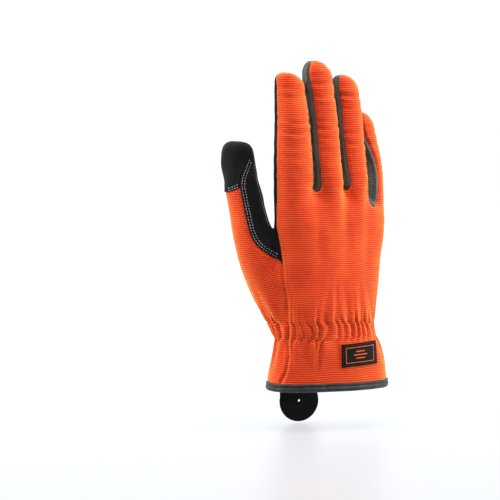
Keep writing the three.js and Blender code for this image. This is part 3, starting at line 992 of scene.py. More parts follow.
def patch(name, under, over, uv):
    """A closed patch between two grids of points of the same shape."""
    points = np.concatenate([over.reshape(-1, 3), under.reshape(-1, 3)])
    both = np.concatenate([uv.reshape(-1, 2), uv.reshape(-1, 2)])
    return add_mesh(name, points, between_grids(*under.shape[:2]), both, sharp=50)


def outward(obj):
    """Turns a closed mesh's faces outwards if its signed volume is negative."""
    mesh = obj.data
    n = len(mesh.vertices)
    co = np.empty(n * 3)
    mesh.vertices.foreach_get("co", co)
    co = co.reshape(-1, 3)
    mesh.calc_loop_triangles()
    tri = np.empty(len(mesh.loop_triangles) * 3, np.int32)
    mesh.loop_triangles.foreach_get("vertices", tri)
    a, b, c = (co[tri.reshape(-1, 3)[:, m]] for m in range(3))
    if np.einsum("ij,ij->i", a, np.cross(b, c)).sum() < 0:
        mesh.flip_normals()
    return obj


def stitch_row(starts, ends, normals, radius):
    """Short rounded threads from starts to ends: an eight-point ring at five places along each, thickest
    in the middle, pressed flat by a third along the skin's normal."""
    along = ends - starts
    length = np.linalg.norm(along, axis=1)
    good = np.isfinite(length) & (length > 0.2)
    starts, along, normals, length = starts[good], along[good], normals[good], length[good]
    t = along / length[:, None]
    side = np.cross(normals, t)
    side /= np.linalg.norm(side, axis=1)[:, None]
    up = np.cross(t, side)
    share = np.array([0.0, 0.12, 0.5, 0.88, 1.0])
    width = np.array([0.25, 0.85, 1.0, 0.85, 0.25]) * radius
    rise = np.array([-0.45, 0.05, 0.3, 0.05, -0.45]) * radius
    a = np.arange(8) / 8 * TAU
    ring = (
        np.cos(a)[None, None, :, None] * side[:, None, None, :]
        + 0.7 * np.sin(a)[None, None, :, None] * up[:, None, None, :]
    ) * width[None, :, None, None]
    core = starts[:, None] + along[:, None] * share[None, :, None] + up[:, None] * rise[None, :, None]
    points = (core[:, :, None] + ring).reshape(-1, 3)
    one = grid_faces(5, 8, wrap=True)
    n = len(starts)
    quads = (one[None] + 40 * np.arange(n)[:, None, None]).reshape(-1, 4)
    low = np.arange(7, -1, -1)[None] + 40 * np.arange(n)[:, None]
    high = np.arange(32, 40)[None] + 40 * np.arange(n)[:, None]
    return points, quads, np.concatenate([low, high])


def add_stitches(name, rows, radius, material):
    """All the rows of one seam as one piece. rows is a list of (starts, ends, normals)."""
    points, quads, ends, n = [], [], [], 0
    for row in rows:
        p, q, e = stitch_row(*row, radius)
        points.append(p)
        quads.append(q + n)
        ends.append(e + n)
        n += len(p)
    obj = add_mesh(name, np.concatenate(points), [np.concatenate(quads), np.concatenate(ends)])
    return finish_piece(outward(obj), material)


def along_line(line, pitch, share):
    """Starts and ends of stitches along a line of plan points: one each pitch, covering the given share
    of it."""
    step = np.linalg.norm(np.diff(line, axis=0), axis=1)
    s = np.concatenate([[0], np.cumsum(step)])
    at = np.arange(pitch * 0.3, s[-1] - pitch, pitch)
    point = lambda d: np.stack([np.interp(d, s, line[:, m]) for m in range(line.shape[1])], axis=1)
    return point(at), point(at + pitch * share)


def offset_line(line, distance):
    """A plan line moved sideways, to its left where distance is positive."""
    t = np.gradient(line, axis=0)
    t /= np.linalg.norm(t, axis=1)[:, None]
    return line + distance * np.stack([-t[:, 1], t[:, 0]], axis=1)


# Materials


def linear(text, alpha=1.0):
    """An sRGB hex colour as linear red, green, blue and alpha."""
    v = [int(text[i : i + 2], 16) / 255 for i in (1, 3, 5)]
    return [c / 12.92 if c <= 0.04045 else ((c + 0.055) / 1.055) ** 2.4 for c in v] + [alpha]


def node(tree, kind, settings=None, **inputs):
    """Adds a node with its settings, and links or sets its inputs by name or number (as in0, in1)."""
    n = tree.nodes.new(kind)
    for key, value in (settings or {}).items():
        setattr(n, key, value)
    for key, value in inputs.items():
        numbered = key[:2] == "in" and key[2:].isdigit()
        socket = n.inputs[int(key[2:]) if numbered else key.replace("_", " ")]
        if isinstance(value, bpy.types.NodeSocket):
            tree.links.new(value, socket)
        else:
            socket.default_value = value
    return n


def new_material(name):
    """A material with only a Principled shader and its output."""
    m = bpy.data.materials.new(name)
    m.use_nodes = True
    tree = m.node_tree
    tree.nodes.clear()
    out = tree.nodes.new("ShaderNodeOutputMaterial")
    shader = tree.nodes.new("ShaderNodeBsdfPrincipled")
    tree.links.new(shader.outputs[0], out.inputs[0])
    return m, tree, shader


def ramp(tree, factor, stops):
    """A colour ramp with the given (place, hex) stops."""
    n = tree.nodes.new("ShaderNodeValToRGB")
    tree.links.new(factor, n.inputs[0])
    e = n.color_ramp.elements
    while len(e) < len(stops):
        e.new(0.5)
    for item, (place, colour) in zip(e, stops):
        item.position = place
        item.color = linear(colour)
    return n.outputs[0]


def math_node(tree, operation, a, b=0.0, c=0.0):
    """The result of one math node."""
    return node(tree, "ShaderNodeMath", {"operation": operation}, in0=a, in1=b, in2=c).outputs[0]


def scaled(tree, value, factor):
    """A value times a number."""
    return math_node(tree, "MULTIPLY", value, factor)


def summed(tree, first, *rest):
    """Values and numbers added up."""
    for value in rest:
        first = math_node(tree, "ADD", first, value)
    return first


def sine_wave(tree, value, length):
    """The sine of a value in millimetres, with the given wavelength."""
    return math_node(tree, "SINE", scaled(tree, value, TAU / length))


def noise(tree, scale, detail, **inputs):
    """Noise in the object's own space, with so many lumps to the metre."""
    place = node(tree, "ShaderNodeTexCoord").outputs["Object"]
    return node(tree, "ShaderNodeTexNoise", in0=place, Scale=scale, Detail=detail, **inputs).outputs[0]


def thread_place(tree):
    """Where a point lies along and across the weave, in millimetres."""
    uv = node(tree, "ShaderNodeUVMap", {"uv_map": "weave"}).outputs[0]
    part = node(tree, "ShaderNodeSeparateXYZ", in0=uv)
    return part.outputs[0], part.outputs[1]


def surface(tree, shader, colour, height, strength, depth, roughness, specular=0.5):
    """Gives the shader its colour, its bump of the given depth in millimetres, and its gloss."""
    tree.links.new(colour, shader.inputs["Base Color"])
    b = node(tree, "ShaderNodeBump", Height=height, Strength=strength, Distance=depth * MM)
    tree.links.new(b.outputs[0], shader.inputs["Normal"])
    shader.inputs["Roughness"].default_value = roughness
    shader.inputs["Specular IOR Level"].default_value = specular


def set_sheen(shader, weight, roughness, tint):
    """The pale bloom of loose fibres at grazing angles."""
    shader.inputs["Sheen Weight"].default_value = weight
    shader.inputs["Sheen Roughness"].default_value = roughness
    shader.inputs["Sheen Tint"].default_value = linear(tint)


def knit_material(name, rib, stops, bump, sheen, tint):
    """Weft-knit polyester with level ribs: the ribs round over and catch the light, the channels between them
    are painted darker as shade and the crests painted lighter as highlight, each rib is a row of small loops,
    and the fuzz of the yarn brightens the edges."""
    m, tree, shader = new_material(name)
    u, v = thread_place(tree)
    wobble = math_node(tree, "SUBTRACT", noise(tree, 140.0, 2.0), 0.5)
    v = summed(tree, v, scaled(tree, wobble, 0.5 * rib))
    row = math_node(tree, "FLOOR", math_node(tree, "DIVIDE", v, rib))
    turn = summed(tree, scaled(tree, u, TAU / (0.72 * rib)), scaled(tree, row, math.pi))
    loops = math_node(tree, "SINE", turn)
    fuzz = noise(tree, 2600.0, 3.0, Roughness=0.7)
    ribs = scaled(tree, sine_wave(tree, v, rib), 0.36)
    height = summed(tree, ribs, scaled(tree, loops, 0.13), scaled(tree, fuzz, 0.35))
    cloud = noise(tree, 55.0, 3.0)
    # painted shade and highlight: the colour follows the height of the ribs and loops, darker in the channels
    # and lighter on the crests; the cloud noise adds random tone
    tone = summed(tree, scaled(tree, height, 0.62), scaled(tree, cloud, 0.45), 0.12)
    surface(tree, shader, ramp(tree, tone, stops), height, 0.75, bump, 0.86, 0.22)
    set_sheen(shader, sheen, 0.43, tint)
    return m


def suede_material():
    """Napped microfibre suede: a near-black nap that is greyer where it is brushed the other way, with
    no gloss and a soft pale bloom at grazing angles."""
    m, tree, shader = new_material("microfibre_suede_black")
    brushed = noise(tree, 75.0, 5.0, Roughness=0.6, Distortion=0.6)
    nap = noise(tree, 1900.0, 4.0, Roughness=0.75)
    tone = summed(tree, scaled(tree, brushed, 0.6), scaled(tree, nap, 0.4))
    colour = ramp(tree, tone, [(0.3, "#020203"), (0.5, "#080809"), (0.68, "#1A1A1C")])
    surface(tree, shader, colour, tone, 0.55, 0.35, 0.93, 0.18)
    set_sheen(shader, 0.08, 0.5, "#C9CCD2")
    return m


def tape_material(name, rib, low, high, bump):
    """Woven polyester tape: a fine diagonal twill of threads, with painted shade between them."""
    m, tree, shader = new_material(name)
    u, v = thread_place(tree)
    twill = sine_wave(tree, summed(tree, u, scaled(tree, v, 1.2)), rib)
    weft = sine_wave(tree, v, rib * 0.8)
    fuzz = noise(tree, 900.0, 4.0, Roughness=0.7)
    height = summed(tree, scaled(tree, twill, 0.25), scaled(tree, weft, 0.15), scaled(tree, fuzz, 0.8))
    # painted shade: the colour follows the threads' height, darker between them, with random fuzz tone
    colour = ramp(tree, height, [(0.1, low), (0.75, high)])
    surface(tree, shader, colour, height, 0.6, bump, 0.5, 0.45)
    set_sheen(shader, 0.15, 0.4, "#D8DADC")
    return m


def label_material():
    """Woven damask label: a smooth black satin ground of fine threads with a plain border and three
    short bars in orange yarn, which lie a little proud of it."""
    m, tree, shader = new_material("woven_label_black")
    u, v = thread_place(tree)

    def past(value, middle, half):
        """How far a value is outside a stretch, from its middle and half length."""
        away = math_node(tree, "ABSOLUTE", math_node(tree, "SUBTRACT", value, middle))
        return math_node(tree, "SUBTRACT", away, half)

    def box(cv, hu, hv):
        """Distance outside a rectangle's edges, from its height on the label and half sizes."""
        return math_node(tree, "MAXIMUM", past(u, LABEL_SIZE[0] / 2, hu), past(v, cv, hv))

    frame_line = math_node(tree, "ABSOLUTE", box(LABEL_SIZE[1] / 2, 12.6, 5.6))
    mark = math_node(tree, "LESS_THAN", frame_line, 0.2)
    for cv, hu in ((8.5, 6.0), (11.0, 3.8), (6.0, 3.8)):
        bar = math_node(tree, "LESS_THAN", box(cv, hu, 0.36), 0.0)
        mark = math_node(tree, "MAXIMUM", mark, bar)
    satin = sine_wave(tree, summed(tree, v, scaled(tree, u, 0.25)), 0.55)
    # painted highlight and shade: the satin ridges set the colour too, lighter on each thread and darker
    # between
    shade = math_node(tree, "MULTIPLY_ADD", satin, 0.3, 0.5)
    ground = ramp(tree, shade, [(0.1, "#040405"), (0.9, "#0D0D0F")])
    yarn = ramp(tree, shade, [(0.1, "#C8481C"), (0.9, "#F07838")])
    mix = node(tree, "ShaderNodeMix", {"data_type": "RGBA"}, in0=mark, in6=ground, in7=yarn)
    height = summed(tree, scaled(tree, satin, 0.2), scaled(tree, mark, 0.8))
    surface(tree, shader, mix.outputs[2], height, 0.6, 0.2, 0.7, 0.12)
    set_sheen(shader, 0.01, 0.4, "#FFFFFF")
    return m


def thread_material(name, low, high):
    """Bonded polyester thread: a twisted pair of strands with a slight gloss."""
    m, tree, shader = new_material(name)
    place = node(tree, "ShaderNodeTexCoord").outputs["Object"]
    bands = {"wave_type": "BANDS", "bands_direction": "DIAGONAL"}
    twist = node(tree, "ShaderNodeTexWave", bands, in0=place, Scale=900.0, Distortion=2.0).outputs[1]
    # painted shade: the twist's bands set the colour too, darker in the grooves between the strands
    surface(tree, shader, ramp(tree, twist, [(0.2, low), (0.8, high)]), twist, 0.4, 0.1, 0.5)
    return m


def print_material():
    """Screen-printed conductive silicone: a flat grey film with a fine grain and a dull gloss."""
    m, tree, shader = new_material("silicone_print_grey")
    grain = noise(tree, 1500.0, 3.0)
    surface(tree, shader, ramp(tree, grain, [(0.25, "#6E7074"), (0.75, "#9EA0A4")]), grain, 0.3, 0.1, 0.42)
    return m


def stage_material():
    """White opal acrylic table lit softly from below, so that shadows on it stay pale."""
    m, tree, shader = new_material("satin_acrylic_white")
    colour = ramp(tree, noise(tree, 2.0, 2.0), [(0.3, "#505255"), (0.7, "#545659")])
    tree.links.new(colour, shader.inputs["Base Color"])
    shader.inputs["Emission Color"].default_value = linear("#F1F3F7")
    shader.inputs["Emission Strength"].default_value = 0.73
    shader.inputs["Roughness"].default_value = 0.38
    shader.inputs["Specular IOR Level"].default_value = 0.15
    return m


MADE = {}


def finish_of(key):
    """Each finish is made once."""
    if key not in MADE:
        s = bpy.context.scene.glove_finishes
        hexed = lambda c: "#" + "".join("%02X" % round(255 * max(0, min(1, v))) for v in c)
        MADE[key] = {
            # the knit ramps run from painted shade in the channels between the ribs to a painted highlight on
            # their crests
            "knit_orange": lambda: knit_material(
                "rib_knit_orange",
                s.rib_pitch * 1000,
                [(0.0, "#8C1D06"), (0.3, hexed(s.orange_channel_shade)), (0.55, hexed(s.orange)), (0.85, "#F06024")],
                0.5,
                1.0,
                "#FFDC6E",
            ),
            "knit_grey": lambda: knit_material(
                "stretch_knit_grey",
                1.25,
                [(0.0, "#232321"), (0.45, "#4A4943"), (0.9, "#75736B")],
                0.3,
                0.3,
                "#D8D6CE",
            ),
            "suede": suede_material,
            "binding": lambda: tape_material("knit_binding_charcoal", 1.1, "#070808", "#1D1E20", 0.5),
            "webbing": lambda: tape_material("webbing_grey", 1.3, "#3A3C39", "#646661", 0.25),
            "label": label_material,
            "white_thread": lambda: thread_material("thread_white", "#8E9092", "#C9CACC"),
            "dark_thread": lambda: thread_material("thread_black", "#0D0D0E", "#303033"),
            "grey_thread": lambda: thread_material("thread_grey", "#8D8F8C", "#C9CBC8"),
            "print": print_material,
            "stage": stage_material,
        }[key]()
    return MADE[key]


# Trims


# the hem's superellipse: centre, half width and depth, power and length round
HEM_CENTRE = (1.4, 2.0)
HEM_HALF = (47.1, 23.4)
HEM_POWER = 2.3
HEM_LENGTH = 225
HEM_Y = HEM_CENTRE[1] + HEM_HALF[1] + 0.8 + 0.3  # what lies on the palm side of the binding starts here
LABEL_SIZE = (32, 17)


def hem_point(t, offset, z):
    """A point of the hem's superellipse: half width and depth times the cosine and sine to the power 2 /
    HEM_POWER."""
    a, b = HEM_HALF[0] + offset, HEM_HALF[1] + offset
    c, s = np.cos(t), np.sin(t)
    x = HEM_CENTRE[0] + a * np.sign(c) * np.abs(c) ** (2 / HEM_POWER)
    y = HEM_CENTRE[1] + b * np.sign(s) * np.abs(s) ** (2 / HEM_POWER)
    return np.stack([x, y, z], axis=-1)


def make_binding():
    """Tape folded over the cuff's edge: a closed profile carried round the hem, with two long soft
    ridges pressed in by its stitching and a slow waver in its height and depth."""
    profile = np.array(
        [
            [-1.0, 6.0], [-0.3, 6.3], [0.3, 6.25], [0.75, 5.9], [0.92, 5.3], [0.75, 4.7], [0.38, 4.35],
            [0.42, 4.0], [0.85, 3.6], [1.08, 2.9], [1.06, 2.2], [0.86, 1.5], [0.5, 0.8], [-0.1, 0.25],
            [-0.9, 0.0], [-1.6, 0.1], [-2.1, 0.6], [-2.45, 1.6], [-2.5, 3.0], [-2.35, 4.4], [-2.0, 5.4],
            [-1.5, 5.9],
        ]
    )
    rows, columns = len(profile), 360
    t = np.arange(columns) / columns * TAU
    s = np.interp((t + math.pi) % TAU - math.pi, ARC_T, ARC_S)
    waver = 0.22 * np.sin(TAU * 7 * s + 1) + 0.14 * np.sin(TAU * 17 * s)
    waver += 0.1 * np.sin(TAU * 31 * s + 2 * np.sin(TAU * 5 * s))
    lift = 0.16 * np.sin(TAU * 5 * s + 2) + 0.1 * np.sin(TAU * 13 * s + 1)
    off = profile[:, :1] + waver[None] * np.clip(profile[:, :1] + 1.2, 0, 1)
    z = profile[:, 1:] + lift[None] * (0.3 + profile[:, 1:] / 8)
    points = hem_point(np.broadcast_to(t, off.shape), off, z)
    u = np.broadcast_to(s * HEM_LENGTH, off.shape)
    around = np.concatenate([[0], np.cumsum(np.linalg.norm(np.diff(profile, axis=0), axis=1))])
    v = np.broadcast_to(around[:, None], off.shape)
    faces = grid_faces(rows, columns, wrap=True)
    close = np.arange(columns)
    after = (close + 1) % columns
    last = (rows - 1) * columns
    seam = np.stack([last + close, last + after, after, close], axis=1)
    uv = np.stack([u, v], axis=-1).reshape(-1, 2)
    obj = add_mesh("hem_binding_tape", points.reshape(-1, 3), [faces, seam], uv)
    finish_piece(outward(obj), finish_of("binding"), "hem_binding", slot="binding_charcoal")
    k = int(HEM_LENGTH / 2.6)
    a = (np.arange(k) / k) * TAU
    height = np.full(k, 4.2)
    start, end = hem_point(a, 0.5, height), hem_point(a + TAU / k * 0.62, 0.5, height)
    out = start - [*HEM_CENTRE, 0]
    out[:, 2] = 0
    out[:, 1] *= 3.0
    out /= np.linalg.norm(out, axis=1)[:, None]
    add_stitches("hem_stitches", [(start, end, out)], 0.22, finish_of("dark_thread"))


LABEL_CORNERS = np.array([[3.2, 17.6], [33.6, 19.4], [33.6, 36.2], [3.2, 34.6]])


def even_skin_y(x, z, side):
    """Depth of the even skin at x and z, stepping in from the back (-1) or the palm (1) and halving the
    last step."""
    y = np.full(x.shape, side * 45.0)
    done = np.zeros(x.shape, bool)
    for _ in range(100):
        done |= glove_field(x, y, z) < 0
        y = np.where(done, y, y - side * 0.6)
    lo, hi = y, y + side * 0.6
    for _ in range(8):
        mid = (lo + hi) / 2
        inner = glove_field(x, mid, z) < 0
        lo, hi = np.where(inner, mid, lo), np.where(inner, hi, mid)
    return (lo + hi) / 2


def make_label():
    """A woven label laid over the back of the cuff: a grid between its four corners, bridging the folds,
    with its edge turned under and drawn down where it is sewn."""
    rows, columns = 56, 96
    v, u = np.meshgrid(np.linspace(0, 1, rows), np.linspace(0, 1, columns), indexing="ij")
    a, b, c, d = LABEL_CORNERS
    xz = (
        a * ((1 - u) * (1 - v))[..., None]
        + b * (u * (1 - v))[..., None]
        + c * (u * v)[..., None]
        + d * ((1 - u) * v)[..., None]
    )
    x, z = xz[..., 0], xz[..., 1]
    y = even_skin_y(x, z, -1)
    width, height = LABEL_SIZE
    edge = np.minimum(np.minimum(u, 1 - u) * width, np.minimum(v, 1 - v) * height)
    lift = 0.95 - 0.3 * np.exp(-(((edge - 1.3) / 0.5) ** 2)) - 0.25 * np.exp(-((edge / 0.35) ** 2))
    lift += 0.12 * np.sin(u * 11 + 1) * np.sin(v * 5) + 0.08 * np.sin(u * 33) * np.exp(-edge / 2)
    dydx = np.gradient(y, axis=1) / np.gradient(x, axis=1)
    size = np.sqrt(1 + dydx**2)
    normal = np.stack([dydx / size, -1 / size, 0 * size], axis=-1)
    skin = np.stack([x, y, z], axis=-1)
    uv = np.stack([u * width, v * height], axis=-1)
    over = skin + normal * lift[..., None]
    obj = patch("label_woven", over - normal * 0.7, over, uv)
    finish_piece(outward(obj), finish_of("label"), "label", slot="label_black")
    rows_of = []
    for i0, i1 in ((0, 1), (1, 2), (2, 3), (3, 0)):
        e = LABEL_CORNERS[[i0, i1]]
        inward = LABEL_CORNERS.mean(0) - e.mean(0)
        e = e + inward / np.linalg.norm(inward) * 1.2
        line = e[0] + (e[1] - e[0]) * np.linspace(0.04, 0.96, 40)[:, None]
        s, t = along_line(line, 2.1, 0.62)
        ends = []
        for q in (s, t):
            yy = even_skin_y(q[:, 0], q[:, 1], -1)
            slopes = (even_skin_y(q[:, 0] + 0.3, q[:, 1], -1) - yy) / 0.3
            n = np.stack([slopes, -np.ones(len(q)), 0 * yy], axis=1)
            n /= np.linalg.norm(n, axis=1)[:, None]
            ends.append((np.stack([q[:, 0], yy, q[:, 1]], axis=1) + n * 0.72, n))
        rows_of.append((ends[0][0], ends[1][0], ends[0][1]))
    add_stitches("label_stitches", rows_of, 0.17, finish_of("dark_thread"))


def strap_y(x, z):
    """Depth of the strap's under face: over the binding it is level, above it follows the cuff and
    bridges its folds, and at the elastic it is drawn into a crooked crease."""
    skin = even_skin_y(x, z, 1) + 0.75
    t = stepped(z, 6.0, 13.0)
    y = HEM_Y * (1 - t) + skin * t
    zig = 41.5 + 1.7 * np.abs(((x + 22.5) / 7.0) % 2 - 1) * 2 - 1.2
    y = y - 0.95 * np.exp(-(((z - zig) / 1.1) ** 2)) + 0.5 * np.exp(-(((z - zig - 3.0) / 2.2) ** 2))
    y = y + 0.45 * np.exp(-(((z - zig + 3.4) / 2.6) ** 2))
    return y + 0.12 * np.sin(z / 5.0 + x / 6.0)


def strap_x(z, share):
    """Place across the strap at heights z, from its middle (0) to its edges (-1 and 1), which are drawn
    in at the elastic."""
    half = 8.5 - 0.7 * np.exp(-(((z - 42) / 3.5) ** 2)) + 0.12 * np.sin(z / 2.3)
    return STRAP_X + share * half + 0.3 * np.sin(z / 9)


def make_strap():
    """Webbing strap over the palm side of the cuff: a grid across its width and along its height, with
    thin selvedges and its sides drawn in at the elastic."""
    rows, columns = 150, 44
    v, u = np.meshgrid(np.linspace(0.8, 50.6, rows), np.linspace(-1, 1, columns), indexing="ij")
    x = strap_x(v, u)
    y = strap_y(x, v)
    thick = 1.15 - 0.5 * np.abs(u) ** 14 + 0.12 * np.exp(-(((np.abs(u) - 0.93) / 0.04) ** 2))
    under = np.stack([x, y, v], axis=-1)
    over = np.stack([x, y + thick, v], axis=-1)
    obj = patch("wrist_strap_webbing", under, over, np.stack([x, v], axis=-1))
    finish_piece(outward(obj), finish_of("webbing"), "wrist_strap", slot="webbing_grey")
    z0, z1 = along_line(np.linspace(7.0, 50, 60)[:, None], 2.0, 0.55)
    n = np.tile([0.0, 1.0, 0.0], (len(z0), 1))
    for name, share, finish in (
        ("strap_edge_stitches_pale", 7.3 / 8.5, "grey_thread"),
        ("strap_edge_stitches_dark", -7.3 / 8.5, "dark_thread"),
    ):
        ends = []
        for z in (z0[:, 0], z1[:, 0]):
            x = strap_x(z, share)
            ends.append(np.stack([x, strap_y(x, z) + 1.24, z], axis=1))
        add_stitches(name, [(*ends, n)], 0.2, finish_of(finish))


TAB_CENTRE = np.array([-10.7, -12.7])
TAB_RADIUS = 15.9
TAB_HOLE = 1.0
TAB_Y = HEM_Y + 1.3 + 0.3


def tab_outline(angle):
    """Distance from the tab's hole to its edge at an angle: the nearest of the disc, the straight top
    and the sides."""
    dx, dz = np.cos(angle), np.sin(angle)
    top = np.where(dz > 0.05, 18.7 / np.maximum(dz, 0.05), 99)
    right = np.where(dx > 0.05, 15.2 / np.maximum(dx, 0.05), 99)
    left = np.where(dx < -0.05, 15.6 / np.maximum(-dx, 0.05), 99)
    box = np.minimum(np.minimum(top, right), left)
    disc = np.full(angle.shape, TAB_RADIUS)
    notch = 0.9 * np.exp(-(((angle - 0.62) / 0.16) ** 2))
    return np.where(dz > 0, np.maximum(disc, box), disc) - notch * (dx > 0)


def make_tab():
    """Suede pull tab: a disc with a straight top, worked out in rings from its punched hole to its edge
    on both faces, with pressed, slightly rounded edges, a sewn-down top and a shallow bow."""
    columns = 240
    angle = np.arange(columns) / columns * TAU
    reach = tab_outline(angle)
    share = np.concatenate([np.linspace(0, 0.93, 24), [0.965, 0.99, 1.0]])
    inset = np.concatenate([[0.35], np.zeros(22), [0.02, 0.12, 0.4, 0.85]])
    inset[1] = 0.08
    radius = TAB_HOLE + (reach[None] - TAB_HOLE) * share[:, None]
    x = TAB_CENTRE[0] + radius * np.cos(angle)[None]
    z = TAB_CENTRE[1] + radius * np.sin(angle)[None]
    bow = 0.25 * np.sin((x + 27) / 31 * math.pi) * stepped(-z, 0, 16)
    sewn = 0.35 * np.exp(-(((z - 3.4) / 0.9) ** 2))
    flat = np.stack([x, 0 * x, z], axis=-1).reshape(-1, 3)
    grain = 0.07 * ripples(flat, 7, (1, 1, 1), 12).reshape(x.shape)
    outer = TAB_Y + 2.0 + bow - inset[:, None] - sewn + grain
    inner = np.broadcast_to(TAB_Y + inset[:, None] * 0.9 + 0.05, x.shape)
    front = np.stack([x, outer, z], axis=-1)
    rear = np.stack([x, inner, z], axis=-1)[::-1]
    points = np.concatenate([front, rear])
    rows = len(points)
    faces = grid_faces(rows, columns, wrap=True)
    c = np.arange(columns)
    d = (c + 1) % columns
    last = (rows - 1) * columns
    seam = np.stack([last + c, last + d, d, c], axis=1)
    uv = points[..., [0, 2]].reshape(-1, 2)
    obj = add_mesh("pull_tab_suede", points.reshape(-1, 3), [faces, seam], uv, sharp=60)
    finish_piece(outward(obj), finish_of("suede"), "pull_tab", slot="suede_black")
    line = np.stack([np.linspace(-25.0, 3.2, 60), np.full(60, 3.4)], axis=1)
    s, t = along_line(line, 2.3, 0.62)
    to3 = lambda q: np.stack([q[:, 0], np.full(len(q), TAB_Y + 1.78), q[:, 1]], axis=1)
    n = np.tile([0.0, 1.0, 0.0], (len(s), 1))
    add_stitches("tab_stitches", [(to3(s), to3(t), n)], 0.2, finish_of("dark_thread"))


def make_seam_stitches():
    """Two rows of white thread on the suede along the thumb's front seam, running out over the cap, and
    two more along the cap's lower edge. Each row is the seam's line moved sideways and dropped on the
    skin."""
    z = np.linspace(98.4, 172, 400)
    line = np.stack([column(SEAM_TABLE, 1, z), z], axis=1)
    rows = []
    for offset in (-1.2, -3.2):
        moved = offset_line(line, offset)
        keep = moved[:, 1] > 96
        s, t = along_line(moved[keep], 2.05, 0.55)
        ps, ns = dropped(s, -1, 0.05)
        pe, _ = dropped(t, -1, 0.05)
        ok = np.linalg.norm(pe - ps, axis=1) < 2.2
        rows.append((ps[ok], pe[ok], ns[ok]))
    z = np.arange(122.0, 166.0, 1.9)
    ps, ns = from_inside("thumb", z, 44, 0.05)
    pe, _ = from_inside("thumb", z + 1.0, 44, 0.05)
    rows.append((ps, pe, ns))
    x = np.linspace(-76.5, -66.8, 60)
    for lift in (1.2, 3.0):
        edge = np.stack([x, cap_edge(x) + lift], axis=1)
        s, t = along_line(edge, 1.6, 0.6)
        ps, ns = dropped(s, -1, 0.05)
        pe, _ = dropped(t, -1, 0.05)
        ok = np.linalg.norm(pe - ps, axis=1) < 3.2
        rows.append((ps[ok], pe[ok], ns[ok]))
    add_stitches("thumb_seam_stitches", rows, 0.24, finish_of("white_thread"))


PRINT_BAR = (4.2, 1.5)


def make_grip_prints():
    """Short printed bars on the pads of the index finger and the thumb: each bar is a small grid dropped
    on the palm side, with its middle raised a tenth of a millimetre."""
    rows, columns = 5, 9
    along, rise = np.linspace(-0.5, 0.5, columns), np.linspace(-0.5, 0.5, rows)
    v, u = np.meshgrid(rise, along, indexing="ij")
    edge = np.minimum(0.5 - np.abs(u), (0.5 - np.abs(v)) * 0.5).reshape(-1)
    width, height = PRINT_BAR
    for name, cx, cz, lean in (
        ("grip_print_index", -28.2, 213.0, -0.06),
        ("grip_print_thumb", -60.6, 163.0, -0.12),
    ):
        points, faces, n = [], [], 0
        for row in range(4):
            for half in (-1, 1):
                x = cx + half * 2.7 + (0.8 if row % 2 else -0.8) + u * width + lean * v * height
                z = cz + (row - 1.5) * 3.0 + v * height + lean * u * width
                where, normal = dropped(np.stack([x, z], axis=-1).reshape(-1, 2), 1, 0.0)
                if not np.isfinite(where).all():
                    continue
                over = where + normal * (0.12 + 0.12 * np.minimum(edge * 12, 1))[:, None]
                points += [over, where - normal * 0.15]
                faces.append(np.concatenate(between_grids(rows, columns)) + n)
                n += 2 * rows * columns
        obj = add_mesh(name, np.concatenate(points), [np.concatenate(faces)])
        finish_piece(outward(obj), finish_of("print"))


# Stage

# what a pixel of the photograph measures at the glove, how far to the right of the glove's origin and above it
# the middle of the photograph lies in pixels, and the camera's distance from there in metres
PIXEL = 0.745 * MM
PHOTO_MIDDLE = (-77, 139)
CAMERA_DISTANCE = 1.242


def area_light(name, place, aim, size, power, colour):
    """A rectangular light at a place, turned towards its aim."""
    data = bpy.data.lights.new(name, "AREA")
    data.shape = "RECTANGLE"
    data.size, data.size_y = size
    data.energy = power
    data.color = linear(colour)[:3]
    obj = bpy.data.objects.new(name, data)
    obj.location = place
    obj.rotation_mode = "QUATERNION"
    obj.rotation_quaternion = (Vector(aim) - Vector(place)).to_track_quat("-Z", "Y")
    bpy.context.scene.collection.objects.link(obj)


